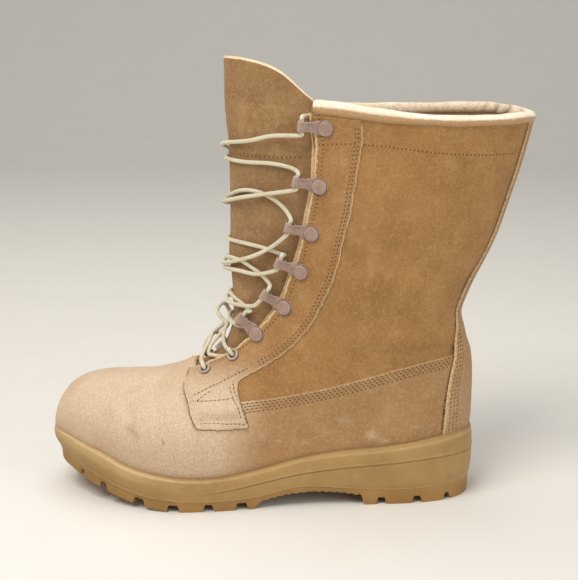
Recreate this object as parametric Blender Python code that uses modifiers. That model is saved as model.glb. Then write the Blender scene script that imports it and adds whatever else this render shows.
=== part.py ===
# Lace-up combat boot, left foot: lugged outsole, moulded midsole cup, hollow
# suede upper with eyestays, backstay, padded collar, tongue, hooks and lace.
#
# Built in foot coordinates: heel back at x = 0, toe at +X, the outer (lateral)
# side of a left boot at +Y, floor at z = 0. At the end everything is parented to
# one empty, which puts the middle of the bounding box's floor at the origin.

import math

import bmesh
import bpy
import numpy as np
from mathutils import Matrix, Vector

MM = 0.001

# ---------------------------------------------------------------- dimensions

WALL = 2.4 * MM              # suede and lining of the upper
PANEL_STEP = 1.2 * MM        # how far the lower panel stands proud
FIT_GAP = 0.3 * MM           # between pieces that touch
OVERLAY = 1.5 * MM           # eyestay and backstay leather
LIP = 2.4 * MM               # thickness of the rand's top edge
TONGUE_WALL = 2.2 * MM
TONGUE_GAP = 1.3 * MM        # tongue to the inside of the quarters
LACE_DIAMETER = 3.4 * MM
GAUGE_STEP = 0.01            # parameter step used for tangents

THROAT_ROW = 11.5            # station where the throat opening ends
SHAFT_TOP_ROW = 30.0         # station of the shaft's top edge, before it is trimmed
LEVEL_ROW = 24.0             # above this station rows squeeze together towards the top edge
SEAT_MARGIN = 12.0 * MM      # upper's turned-in margin under the foot

# The upper's closed outer form is a fan of plane sections. Each row is one
# section: where it crosses the ridge or shin (front), where it crosses the
# bottom or heel (back), its middle in Y, the half widths on each side, how far
# up from back to front it is widest, the two superellipse powers, the half
# width of the throat there, and how far the tongue stands ahead of the front.
STATION_COLUMNS = ("front_x", "front_z", "back_x", "back_z", "centre", "lateral", "medial",
                   "widest", "front_power", "back_power", "throat", "tongue")
STATIONS = [
    (316.9, 48.0, 316.9, 47.9, -12.0, 0.2, 0.2, 0.45, 2.2, 2.2, 9.0, -3.5),
    (316.4, 55.5, 316.0, 42.0, -11.8, 10.5, 10.5, 0.45, 2.2, 2.2, 9.5, -3.5),
    (314.0, 64.0, 313.4, 37.0, -11.4, 17.5, 18.0, 0.44, 2.2, 2.5, 10.0, -3.5),
    (309.6, 72.0, 308.6, 32.5, -10.8, 23.0, 24.0, 0.43, 2.2, 3.0, 10.5, -3.5),
    (303.4, 78.6, 302.0, 29.0, -9.8, 28.0, 29.0, 0.42, 2.2, 3.8, 11.0, -3.5),
    (295.6, 83.4, 293.8, 26.0, -8.4, 33.2, 33.6, 0.41, 2.2, 4.4, 11.5, -3.5),
    (285.6, 87.0, 283.4, 23.4, -6.6, 37.8, 37.8, 0.40, 2.2, 4.8, 12.0, -3.5),
    (272.0, 89.4, 269.4, 20.5, -4.3, 42.6, 42.0, 0.39, 2.2, 5.0, 12.0, -3.5),
    (256.0, 90.6, 253.0, 18.0, -2.0, 47.0, 45.4, 0.38, 2.15, 5.0, 12.0, -3.5),
    (240.0, 92.2, 236.0, 16.2, 0.0, 50.0, 47.0, 0.37, 2.1, 5.0, 12.0, -3.5),
    (226.0, 95.6, 219.0, 15.4, 1.0, 51.5, 46.0, 0.36, 2.0, 5.0, 12.0, -3.5),
    (214.0, 99.6, 201.0, 15.2, 1.0, 51.0, 43.0, 0.35, 1.95, 5.0, 12.5, -3.3),
    (203.0, 104.8, 181.0, 16.4, 0.8, 49.0, 39.0, 0.34, 1.9, 5.0, 14.0, -3.0),
    (193.0, 111.6, 158.0, 19.2, 0.5, 45.5, 35.5, 0.33, 1.9, 5.0, 15.5, -2.0),
    (184.5, 119.6, 131.0, 22.6, 0.2, 42.0, 34.0, 0.33, 1.9, 5.0, 17.0, 0.5),
    (177.5, 129.4, 101.0, 26.4, 0.0, 39.5, 34.5, 0.34, 1.95, 5.0, 18.5, 4.0),
    (171.5, 141.0, 69.0, 29.4, 0.0, 38.0, 36.0, 0.36, 2.0, 5.0, 20.0, 11.9),
    (166.0, 153.5, 39.0, 31.6, 0.0, 37.0, 36.5, 0.40, 2.05, 4.4, 21.5, 19.5),
    (161.0, 166.5, 14.5, 36.5, 0.0, 36.5, 36.5, 0.44, 2.1, 3.2, 22.8, 27.5),
    (157.0, 179.5, 3.4, 52.0, 0.0, 36.5, 36.5, 0.47, 2.15, 2.6, 24.0, 31.0),
    (153.5, 192.0, 1.4, 77.0, 0.0, 36.5, 36.5, 0.49, 2.2, 2.3, 25.0, 34.5),
    (151.0, 205.0, 2.4, 103.0, 0.0, 36.5, 36.5, 0.50, 2.25, 2.2, 25.8, 36.4),
    (149.3, 218.0, 6.6, 125.0, 0.0, 36.5, 36.5, 0.50, 2.3, 2.2, 26.5, 38.0),
    (148.0, 231.0, 10.0, 141.0, 0.0, 36.8, 36.8, 0.50, 2.35, 2.2, 27.2, 40.0),
    (147.0, 243.0, 5.2, 155.5, 0.0, 37.2, 37.2, 0.50, 2.4, 2.2, 27.8, 41.0),
    (146.3, 254.0, -3.2, 174.0, 0.0, 37.8, 37.8, 0.50, 2.45, 2.2, 28.3, 41.0),
    (145.8, 264.0, -13.0, 197.5, 0.0, 38.4, 38.4, 0.50, 2.5, 2.2, 28.8, 40.3),
    (145.4, 274.0, -21.0, 222.0, 0.0, 39.0, 39.0, 0.50, 2.5, 2.2, 29.2, 39.6),
    (145.2, 283.0, -28.5, 247.0, 0.0, 39.5, 39.5, 0.50, 2.5, 2.2, 29.6, 39.3),
    (145.0, 291.5, -34.0, 268.0, 0.0, 39.8, 39.8, 0.50, 2.5, 2.2, 29.9, 39.0),
    (145.0, 298.0, -37.5, 283.0, 0.0, 40.0, 40.0, 0.50, 2.5, 2.2, 30.1, 38.9),
    (145.0, 312.0, -41.0, 300.0, 0.0, 40.0, 40.0, 0.50, 2.5, 2.2, 30.1, 39.0),
    (145.0, 329.5, -44.0, 320.0, 0.0, 40.0, 40.0, 0.50, 2.5, 2.2, 30.1, 39.2),
]

# Top edge of the lower panel, in side view, from the throat's corner to the heel.
PANEL_SEAM = [
    # x, z
    (230.0, 112.0), (172.7, 80.4), (148.0, 83.2), (130.0, 86.4), (111.5, 90.1), (93.5, 94.9),
    (75.0, 100.2), (57.0, 105.5), (42.0, 108.8), (17.0, 112.5), (0.0, 115.0), (-20.0, 118.0),
]
HEEL_SEAM_ANGLE = 2.5        # the edge stops at this angle, under the backstay
HEEL_SEAM_ROW = 21.0

# Height of the shaft's top edge, below the padded collar, around the leg.
SHAFT_TOP = [
    # x, lateral z, medial z
    (-45.0, 281.5, 281.5), (-30.0, 283.5, 284.0), (-12.0, 283.0, 286.0), (20.0, 283.0, 285.0),
    (55.0, 284.5, 283.5), (80.0, 286.5, 282.0), (105.0, 289.5, 281.0), (125.0, 290.5, 281.0),
]

# Heights along the sole's side wall, in side view.
SOLE_LINE_COLUMNS = ("x", "tread", "groove", "rand", "bed", "toe_share", "groove_share")
SOLE_LINES = [
    (-3.0, 14.4, 35.0, 52.6, 8.5, 0.0, 1.0),
    (12.0, 13.6, 36.2, 53.4, 8.5, 0.0, 1.0),
    (27.0, 12.2, 35.8, 51.4, 8.5, 0.0, 1.0),
    (66.0, 11.4, 32.6, 45.6, 8.5, 0.0, 1.0),
    (100.0, 13.7, 30.0, 42.8, 13.4, 0.0, 1.0),
    (130.0, 15.6, 26.6, 38.2, 15.2, 0.0, 1.0),
    (160.0, 9.6, 21.0, 30.8, 9.4, 0.0, 1.0),
    (185.0, 7.6, 16.2, 26.6, 7.5, 0.0, 0.7),
    (200.0, 7.6, 14.4, 25.7, 7.5, 0.0, 0.3),
    (229.0, 9.2, 13.4, 27.8, 8.0, 0.0, 0.0),
    (258.0, 13.6, 18.0, 33.3, 12.8, 0.15, 0.0),
    (274.0, 18.2, 23.0, 39.8, 17.0, 0.35, 0.0),
    (290.0, 23.4, 28.8, 44.6, 21.6, 0.6, 0.0),
    (307.0, 29.4, 35.4, 48.8, 26.4, 0.9, 0.0),
    (321.0, 33.4, 39.0, 49.6, 29.0, 1.0, 0.0),
]
BED_INSET = 8.0 * MM          # the joint with the tread drops from edge to bed over this

# Side wall profile, from the tread line up to the rand: which pair of lines it
# lies between and how far up, and how far it stands out from the rand's edge at
# the toe and elsewhere. The groove's own row sinks only where the groove runs.
SIDE_WALL_COLUMNS = ("from", "to", "share", "out_toe", "out_side", "groove_sink")
SIDE_WALL = [
    ("tread", "groove", 0.00, -7.5, -1.0, 0.0),
    ("tread", "groove", 0.22, -5.6, 1.0, 0.0),
    ("tread", "groove", 0.86, -3.2, 1.7, 0.0),
    ("tread", "groove", 1.00, -2.2, 1.7, 1.4),
    ("groove", "rand", 0.10, -1.0, 1.7, 0.0),
    ("groove", "rand", 0.60, 0.6, 1.5, 0.0),
    ("groove", "rand", 0.90, 0.6, 0.8, 0.0),
    ("groove", "rand", 1.00, 0.0, 0.0, 0.0),
]

# Tread edge: how far down from joint to ground, and how far out.
OUTSOLE_EDGE = [(0.0, 0.0), (0.35, 0.5), (1.0, -1.2)]
LUG_DEPTH = 5.5 * MM
HEEL_BREAST = (83.0, 8.0)         # where the heel ends, and the rise over it (mm)
WAIST_TOP = (121.0, 12.4)         # highest part of the arch
FORE_EDGE = (164.0, 1.0)          # where the forefoot tread begins
FORE_BREAST = (157.0, 6.5)
TOE_SPRING_START = 222.0
TOE_SPRING_RATE = 0.0267          # rise = rate * distance ** 1.5, in mm

# Insole, from its underside up: height over the form's bottom, gap at the side.
INSOLE_LEVELS = [(2.1, 20.0), (4.9, 10.0), (6.6, 6.4)]
INSOLE_HEEL_TRIM = 0.45           # share more gap round the heel

# Gaps between the lugs along the edge: middle and width along the sole.
LUG_GAPS = [
    # x, width
    (20.0, 6.0), (42.0, 8.0), (69.0, 8.0), (173.5, 10.0), (197.0, 8.5), (222.5, 10.0),
    (248.0, 10.0), (276.5, 7.0), (294.5, 5.0),
]
GAP_REACH = 24.0 * MM             # how far a gap runs in from the edge
CENTRE_CHANNEL = 7.0 * MM

# Eyestay behind the throat edge, in side view, from the collar down the rear
# edge, round the square tab and up its front.
EYESTAY_OUTLINE = [
    # x, z
    (86.5, 330.0), (86.3, 272.0), (88.6, 257.0), (91.3, 239.6), (95.6, 214.5), (99.7, 197.4),
    (105.9, 171.0), (113.1, 153.8), (120.4, 139.5), (132.0, 124.0), (143.6, 113.8), (157.3, 104.4),
    (170.0, 97.2), (174.4, 93.6), (175.4, 88.0), (172.7, 79.5), (167.3, 62.6), (205.5, 62.6),
    (209.8, 73.5), (211.9, 80.6), (214.3, 87.0), (215.0, 93.6), (213.6, 98.5), (216.0, 125.0),
    (190.0, 330.0),
]

# Backstay: half width up the back, and the front edge of its wide lower part in
# side view.
BACKSTAY_OUTLINE = [
    # z, half width
    (54.0, 0.0), (54.6, 14.0), (53.2, 29.0), (53.2, 40.0), (129.0, 40.0), (133.5, 18.3),
    (165.0, 18.3), (185.0, 16.5), (330.0, 16.5),
]
COUNTER_OUTLINE = [
    # x, z
    (20.8, 40.0), (20.8, 53.0), (21.6, 62.0), (22.6, 74.0), (22.9, 82.0), (22.2, 90.0),
    (19.7, 98.0), (17.6, 106.0), (16.2, 116.0), (15.2, 124.0), (14.4, 130.0), (15.0, 134.5),
    (60.0, 137.0), (60.0, 330.0), (-80.0, 330.0), (-80.0, 40.0),
]
BACKSTAY_REACH_X = 46.0 * MM

COLLAR_WIDE = 10.5 * MM           # across the roll
COLLAR_HIGH = 9.2 * MM
COLLAR_SIDES = 8

# Top edge of the tongue: share of the way from fold to throat edge, height.
TONGUE_TOP = [
    (0.0, 329.0), (0.22, 329.0), (0.42, 326.5), (0.6, 321.5), (0.78, 312.0), (0.92, 303.0),
    (1.0, 297.0), (1.25, 287.0), (2.0, 278.0),
]
TONGUE_FLAP = 0.30                # angle of the flap that runs on behind the eyestay

# Hooks and eyelets, in side view on the eyestay.
HOOK_PLACES = [(111.6, 280.6), (115.6, 239.6), (121.1, 205.3), (128.6, 176.5), (140.6, 148.9), (161.0, 127.1)]
EYELET_PLACES = [(178.7, 110.9), (199.7, 99.6)]
MEDIAL_HOOK_DROP = [9.0, 4.0, 1.5, 0.0, 0.0, 0.0]    # the medial side's top edge sits lower
HOOK_DISC_RADIUS = 5.7 * MM
HOOK_DISC_THICK = 1.4 * MM
HOOK_ARM_WIDTH = 6.4 * MM
HOOK_ARM_REACH = 19.5 * MM        # disc centre to the bend's outside
HOOK_METAL = 1.1 * MM
HOOK_CHANNEL = 4.4 * MM           # clear height under the folded end
HOOK_FOLD = 7.5 * MM
HOOK_ARM_RISE = 1.6 * MM          # the arm lifts clear of the throat edge
EYELET_RADIUS = 4.8 * MM
EYELET_HOLE = 2.2 * MM
EYELET_BARREL = 2.9 * MM
EYELET_FLANGE = 1.1 * MM
EYELET_CUT = 3.2 * MM
EYELET_CUT_LONG = 14.0 * MM

SEAM_RAMP = 0.018                 # angle of the ramp on each side of the panel's edge
SEAM_FADE = 0.12
TONGUE_TUCK = 6.0 * MM            # the tongue's top passes inside the collar
TONGUE_SINK = 2.2 * MM            # its lower end lies deeper under the vamp
TONGUE_POWER = 2.3
TONGUE_ROWS = [9.8, 11.0, 12.0, 13.0, 14.0, 15.2, 16.5, 18.0, 20.0, 22.0, 24.0, 26.2, 28.4]
TONGUE_COLUMNS = [0.0, 0.22, 0.45, 0.7, 1.0, 1.45, 2.0]
COLLAR_END_SCALE = 0.72
COLLAR_INWARD = 0.9 * MM
COLLAR_LIFT = 0.9 * MM
HOOK_SEAT_GAP = 0.35 * MM
HOOK_BEND_STEPS = 3
EYELET_ROUND = 0.5 * MM
EYELET_STEPS = 8
EYELET_SEAT_GAP = 0.6 * MM
LACE_CLEARANCE = 1.9 * MM
LACE_SPACING = 4.4
LACE_SHARES = (0.12, 0.3, 0.5, 0.7, 0.88)

# Mesh rows and columns.
VAMP_ROWS = [0.0, 0.45, 1.0, 1.7, 2.5, 3.5, 4.8, 6.2, 7.6, 9.0, 10.3, 11.5]
THROAT_ROWS = [12.3, 13.4, 14.6, 15.8, 17.0, 18.1, 19.2, 20.2, 21.0, 21.8, 22.8, 24.0, 25.6, 27.2, 28.7]
RIDGE_COLUMNS = 2
QUARTER_COLUMNS = 7
PANEL_COLUMNS = 7
SOLE_POINTS = 46


# ------------------------------------------------------------ small helpers

def clear_scene():
    for thing in list(bpy.data.objects):
        bpy.data.objects.remove(thing, do_unlink=True)
    for mesh in list(bpy.data.meshes):
        bpy.data.meshes.remove(mesh)


def new_collection(name):
    group = bpy.data.collections.new(name)
    bpy.context.scene.collection.children.link(group)
    return group


def add_object(name, mesh, material=None):
    thing = bpy.data.objects.new(name, mesh)
    parts.objects.link(thing)
    if material:
        thing.data.materials.append(material)
    return thing


def make_material(name, colour, roughness, metallic=0.0):
    material = bpy.data.materials.new(name)
    material.use_nodes = True
    shader = material.node_tree.nodes["Principled BSDF"]
    shader.inputs["Base Color"].default_value = (*colour, 1.0)
    shader.inputs["Roughness"].default_value = roughness
    shader.inputs["Metallic"].default_value = metallic
    material.diffuse_color = (*colour, 1.0)
    return material


def finish_mesh(form, name, smooth_angle=40.0):
    """Weld and smooth a bmesh, turn a closed one's faces outwards, and return its mesh."""
    bmesh.ops.remove_doubles(form, verts=form.verts, dist=0.00002)
    bmesh.ops.dissolve_degenerate(form, edges=form.edges, dist=0.00001)
    if not any(edge.is_boundary for edge in form.edges):
        bmesh.ops.recalc_face_normals(form, faces=form.faces)
    mesh = bpy.data.meshes.new(name)
    form.to_mesh(mesh)
    form.free()
    mesh.shade_smooth()
    mesh.set_sharp_from_angle(angle=math.radians(smooth_angle))
    return mesh


def add_grid(form, points, closed=False, flip=False):
    """Add a grid of triangle pairs; points has shape (rows, columns, 3)."""
    rows, columns = points.shape[:2]
    verts = [[form.verts.new(point) for point in row] for row in points]
    last = columns if closed else columns - 1
    turn = -1 if flip else 1
    for i in range(rows - 1):
        for j in range(last):
            k = (j + 1) % columns
            form.faces.new((verts[i][j], verts[i][k], verts[i + 1][k])[::turn])
            form.faces.new((verts[i][j], verts[i + 1][k], verts[i + 1][j])[::turn])
    return verts


def apply_boolean(thing, cutter, operation="DIFFERENCE"):
    change = thing.modifiers.new(operation.lower(), "BOOLEAN")
    change.operation = operation
    change.solver = "EXACT"
    change.object = cutter
    cutter.hide_render = True
    cutter.display_type = "WIRE"
    return change


def add_cutter(name, mesh):
    cutter = bpy.data.objects.new(name, mesh)
    cutters.objects.link(cutter)
    cutter.hide_render = True
    cutter.display_type = "WIRE"
    return cutter


def as_mesh(thing):
    """Evaluate an object and return its final mesh."""
    graph = bpy.context.evaluated_depsgraph_get()
    return bpy.data.meshes.new_from_object(thing.evaluated_get(graph))


def lookup(table, at):
    """Linear lookup in a table of (key, value, ...) rows; returns all values."""
    rows = np.array(table, dtype=float)
    order = np.argsort(rows[:, 0])
    rows = rows[order]
    return [np.interp(at, rows[:, 0], rows[:, k]) for k in range(1, rows.shape[1])]


# ------------------------------------------------------------ upper's form

def station(row):
    """Station values at fractional rows, on a Catmull-Rom curve through the table."""
    table = np.array(STATIONS, dtype=float)
    last = len(table) - 1
    row = np.clip(np.asarray(row, dtype=float), 0.0, last)
    i = np.minimum(row.astype(int), last - 1)
    t = (row - i)[..., None]
    p0, p1 = table[np.maximum(i - 1, 0)], table[i]
    p2, p3 = table[i + 1], table[np.minimum(i + 2, last)]
    values = 0.5 * (2 * p1 + (p2 - p0) * t + (2 * p0 - 5 * p1 + 4 * p2 - p3) * t ** 2
                    + (3 * p1 - p0 - 3 * p2 + p3) * t ** 3)
    return {name: values[..., k] for k, name in enumerate(STATION_COLUMNS)}


def form_place(row, angle):
    """Point on the bare outer form; angle 0 is the front, + is lateral, pi the back."""
    row, angle = np.broadcast_arrays(np.asarray(row, float), np.asarray(angle, float))
    s = station(row)
    along, across = np.cos(angle), np.abs(np.sin(angle))
    power = np.where(along > 0, s["front_power"], s["back_power"])
    radius = (np.abs(along) ** power + across ** power) ** (-1.0 / power)
    along, across = along * radius, across * radius
    share = s["widest"] + along * np.where(along > 0, 1 - s["widest"], s["widest"])
    width = np.where(angle >= 0, s["lateral"], s["medial"])
    x = s["back_x"] + (s["front_x"] - s["back_x"]) * share
    z = s["back_z"] + (s["front_z"] - s["back_z"]) * share
    y = s["centre"] + np.sign(angle) * width * across
    return np.stack([x, y, z], axis=-1) * MM


def form_normal(row, angle):
    """Outward unit normal of the outer form, from finite differences."""
    row = np.clip(np.asarray(row, float), 0.1, len(STATIONS) - 1.1)
    step = GAUGE_STEP
    up_rows = form_place(row + step, angle) - form_place(row - step, angle)
    round_it = form_place(row, angle + step) - form_place(row, angle - step)
    normal = np.cross(round_it, up_rows)
    return normal / np.maximum(np.linalg.norm(normal, axis=-1, keepdims=True), 1e-12)


def offset_place(row, angle, distance):
    """Point at a distance outside (or, negative, inside) the outer form."""
    distance = np.asarray(distance, float)
    return form_place(row, angle) + form_normal(row, angle) * distance[..., None]


def angle_at_half_width(row, half_width, side, front=True):
    """Angle at which the section is half_width (mm) from its middle."""
    s = station(row)
    width = s["lateral"] if side > 0 else s["medial"]
    power = s["front_power"] if front else s["back_power"]
    across = np.clip(half_width / np.maximum(width, 0.001), 0.0, 1.0)
    along = (1.0 - across ** power) ** (1.0 / power)
    return np.arctan2(across, along if front else -along)


def throat_angle(row, side):
    return angle_at_half_width(row, station(row)["throat"], side)


def seat_angle(row, side):
    """Where the upper's bottom margin ends; pi where the section is closed below."""
    s = station(row)
    opening = np.minimum(s["lateral"], s["medial"]) - SEAT_MARGIN / MM
    openness = np.clip((row - 2.6) / 1.5, 0, 1) * np.clip((17.9 - row) / 1.2, 0, 1)
    half = np.maximum(opening * np.sqrt(openness), 0.0)
    return np.where(half > 0.5, angle_at_half_width(row, half, side, front=False), math.pi)


def bisect(is_low, low, high, steps=30):
    """Halve the span from low to high until it closes on where is_low ends."""
    for _ in range(steps):
        middle = 0.5 * (low + high)
        inside = is_low(middle)
        low = np.where(inside, middle, low)
        high = np.where(inside, high, middle)
    return 0.5 * (low + high)


def seam_angle(row, side):
    """Where the lower panel's top edge crosses the section."""
    seam = np.array(PANEL_SEAM[::-1])

    def above(angle):
        place = form_place(row, side * angle) / MM
        return place[..., 2] > np.interp(place[..., 0], seam[:, 0], seam[:, 1])

    start = throat_angle(row, side)
    end = np.full_like(start, math.pi - 1e-4)
    angle = np.where(above(end), math.pi, bisect(above, start, end))
    merged = np.clip((row - HEEL_SEAM_ROW) / (LEVEL_ROW - HEEL_SEAM_ROW), 0, 1)
    angle = np.minimum(angle, HEEL_SEAM_ANGLE + (math.pi - HEEL_SEAM_ANGLE) * merged)
    return np.where(above(start) & (row > THROAT_ROW + 0.01), angle, start)


def shaft_top_row(angle, side):
    """Row at which a column of the shaft reaches its top edge."""
    def below(row):
        place = form_place(row, side * angle) / MM
        lateral, medial = lookup(SHAFT_TOP, place[..., 0])
        return place[..., 2] < (lateral if side > 0 else medial)

    return bisect(below, np.full_like(angle, 24.0), np.full_like(angle, 31.5))


def find_on_form(x, z, side):
    """Row and angle of the form's point at x, z (mm) in side view."""
    def beyond(row):
        s = station(row)
        run_x, run_z = s["front_x"] - s["back_x"], s["front_z"] - s["back_z"]
        return (x - s["back_x"]) * run_z - (z - s["back_z"]) * run_x < 0

    row = bisect(beyond, np.array(1.0), np.array(len(STATIONS) - 1.0))
    s = station(row)
    run_x, run_z = s["front_x"] - s["back_x"], s["front_z"] - s["back_z"]
    share = ((x - s["back_x"]) * run_x + (z - s["back_z"]) * run_z) / (run_x ** 2 + run_z ** 2)
    above = share > s["widest"]
    along = (share - s["widest"]) / np.where(above, 1 - s["widest"], s["widest"])
    power = np.where(above, s["front_power"], s["back_power"])
    across = (1 - np.abs(along) ** power) ** (1 / power)
    return float(row), float(side * np.arctan2(across, along))


def side_columns(rows, side):
    """Rows, angles and panel step for one side, from throat edge to bottom edge.

    The quarter's columns run from the throat to just short of the seam. The
    panel's columns run from just past it to the bottom margin, one step out.
    """
    throat, seam, end = throat_angle(rows, side), seam_angle(rows, side), seat_angle(rows, side)
    end = np.maximum(end, seam)
    quarter_open = np.clip((seam - throat) / SEAM_FADE, 0, 1)
    panel_open = np.clip((end - seam) / SEAM_FADE, 0, 1) * np.clip((HEEL_SEAM_ROW + 0.7 - rows) / 0.7, 0, 1)
    ramp = SEAM_RAMP * quarter_open * panel_open
    quarter_share = np.linspace(0, 1, QUARTER_COLUMNS + 1)
    panel_share = np.linspace(0, 1, PANEL_COLUMNS + 1)
    quarter = throat[:, None] + (seam - ramp - throat)[:, None] * quarter_share
    panel = (seam + ramp)[:, None] + (end - seam - ramp)[:, None] * panel_share
    angles = np.concatenate([quarter, panel], axis=1)
    step = np.concatenate([np.repeat((1 - quarter_open)[:, None], quarter.shape[1], axis=1),
                           np.repeat(panel_open[:, None], panel.shape[1], axis=1)], axis=1)
    table = np.repeat(rows[:, None], angles.shape[1], axis=1)
    if rows[-1] == SHAFT_TOP_ROW:
        top = shaft_top_row(angles[-1], side)
        squeeze = (top - LEVEL_ROW) / (SHAFT_TOP_ROW - LEVEL_ROW)
        table = np.minimum(table, LEVEL_ROW) + np.clip(table - LEVEL_ROW, 0, None) * squeeze
    return table, angles, step * PANEL_STEP


def add_side(form, rows, side, extra):
    table, angles, step = side_columns(rows, side)
    add_grid(form, offset_place(table, side * angles, step + extra), flip=side < 0)


def add_ridge(form, rows, side, extra):
    """The strip between the throat lines, over the toe and vamp."""
    angles = throat_angle(rows, side)[:, None] * np.linspace(0, 1, RIDGE_COLUMNS + 1)
    table = np.repeat(rows[:, None], RIDGE_COLUMNS + 1, axis=1)
    step = np.where(table <= THROAT_ROW + 1e-6, PANEL_STEP, 0.0)
    add_grid(form, offset_place(table, side * angles, step + extra), flip=side < 0)


def add_bottom(form, rows, side, extra):
    """The strip that closes the form's bottom, between its margins."""
    start = np.maximum(seat_angle(rows, side), seam_angle(rows, side))
    angles = start[:, None] + (math.pi - start)[:, None] * np.linspace(0, 1, 4)
    table = np.repeat(rows[:, None], angles.shape[1], axis=1)
    height = np.full(angles.shape, PANEL_STEP + extra)
    add_grid(form, offset_place(table, side * angles, height), flip=side < 0)


def add_solidify(thing, thickness, outward):
    """Give an outer skin its thickness, outwards or inwards."""
    wall = thing.modifiers.new("wall", "SOLIDIFY")
    wall.thickness = thickness
    wall.offset = 1.0 if outward else -1.0
    wall.use_rim = True
    return wall


def fill_holes(form):
    rim = [edge for edge in form.edges if edge.is_boundary]
    bmesh.ops.holes_fill(form, edges=rim, sides=0)


def prism_mesh(name, outline, low, high, axis):
    """A flat outline in the other two axes, extruded from low to high along axis."""
    flat = bpy.data.curves.new(name, "CURVE")
    flat.dimensions = "2D"
    flat.fill_mode = "BOTH"
    flat.extrude = (high - low) / 2
    spline = flat.splines.new("POLY")
    spline.points.add(len(outline) - 1)
    spline.use_cyclic_u = True
    for point, (a, b) in zip(spline.points, outline):
        point.co = (a, b, 0.0, 1.0)
    blank = bpy.data.objects.new(name, flat)
    cutters.objects.link(blank)
    form = bmesh.new()
    form.from_mesh(as_mesh(blank))
    bpy.data.objects.remove(blank)
    bmesh.ops.remove_doubles(form, verts=form.verts, dist=0.00002)
    columns = {"x": ((0, 1, 0), (0, 0, 1), (1, 0, 0)), "y": ((1, 0, 0), (0, 0, 1), (0, 1, 0)),
               "z": ((1, 0, 0), (0, 1, 0), (0, 0, 1))}[axis]
    turn = Matrix(columns).transposed().to_4x4()
    turn.translation = Vector(columns[2]) * (low + high) / 2
    form.transform(turn)
    bmesh.ops.recalc_face_normals(form, faces=form.faces)
    mesh = bpy.data.meshes.new(name)
    form.to_mesh(mesh)
    form.free()
    return mesh


def disc_mesh(name, radius, height, sides):
    """A flat round disc that stands on z = 0."""
    form = bmesh.new()
    lift = Matrix.Translation((0, 0, height / 2))
    bmesh.ops.create_cone(form, cap_ends=True, segments=sides, radius1=radius, radius2=radius,
                          depth=height, matrix=lift)
    mesh = bpy.data.meshes.new(name)
    form.to_mesh(mesh)
    form.free()
    return mesh


# ------------------------------------------------------------ upper pieces

def make_upper():
    form = bmesh.new()
    rows = np.array(VAMP_ROWS + THROAT_ROWS + [SHAFT_TOP_ROW])
    for side in (1, -1):
        add_side(form, rows, side, 0.0)
        add_ridge(form, np.array(VAMP_ROWS), side, 0.0)
    upper = add_object("upper", finish_mesh(form, "upper"), suede)
    add_solidify(upper, WALL, outward=False)
    for place in eyelet_frames:
        hole = disc_mesh("eyelet_hole", EYELET_CUT, EYELET_CUT_LONG, 8)
        hole.transform(place @ Matrix.Translation((0, 0, -EYELET_CUT_LONG / 2)))
        apply_boolean(upper, add_cutter("eyelet_hole", hole))
    return upper


def overlay_shell(name, side=None):
    """A closed shell one gap outside the upper, to cut overlays from."""
    form = bmesh.new()
    if side:
        rows = np.array([row for row in VAMP_ROWS if row > 7] + THROAT_ROWS + [SHAFT_TOP_ROW])
        add_side(form, rows, side, FIT_GAP)
    else:
        rows = np.array([row for row in THROAT_ROWS if row > 17] + [SHAFT_TOP_ROW])
        add_side(form, rows, 1, FIT_GAP)
        add_side(form, rows, -1, FIT_GAP)
    shell = add_object(name, finish_mesh(form, name), suede)
    add_solidify(shell, OVERLAY, outward=True)
    return shell


def make_eyestay(name, side):
    eyestay = overlay_shell(name, side)
    outline = [(x * MM, z * MM) for x, z in EYESTAY_OUTLINE]
    span = sorted((side * 2 * MM, side * 90 * MM))
    outline_form = prism_mesh(name + "_outline", outline, *span, "y")
    apply_boolean(eyestay, add_cutter(name + "_outline", outline_form), "INTERSECT")
    for place in eyelet_frames:
        if side * place.translation.y > 0:
            hole = disc_mesh("eyestay_hole", EYELET_CUT, EYELET_CUT_LONG, 8)
            hole.transform(place @ Matrix.Translation((0, 0, -EYELET_CUT_LONG / 2)))
            apply_boolean(eyestay, add_cutter("eyestay_hole", hole))
    return eyestay


def make_backstay():
    backstay = overlay_shell("backstay")
    right = [(half * MM, z * MM) for z, half in BACKSTAY_OUTLINE]
    left = [(-y, z) for y, z in reversed(right[1:])]
    outline = prism_mesh("backstay_outline", right + left, -80 * MM, BACKSTAY_REACH_X, "x")
    apply_boolean(backstay, add_cutter("backstay_outline", outline), "INTERSECT")
    counter = [(x * MM, z * MM) for x, z in COUNTER_OUTLINE]
    outline = prism_mesh("counter_outline", counter, -60 * MM, 60 * MM, "y")
    apply_boolean(backstay, add_cutter("counter_outline", outline), "INTERSECT")
    return backstay


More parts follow.
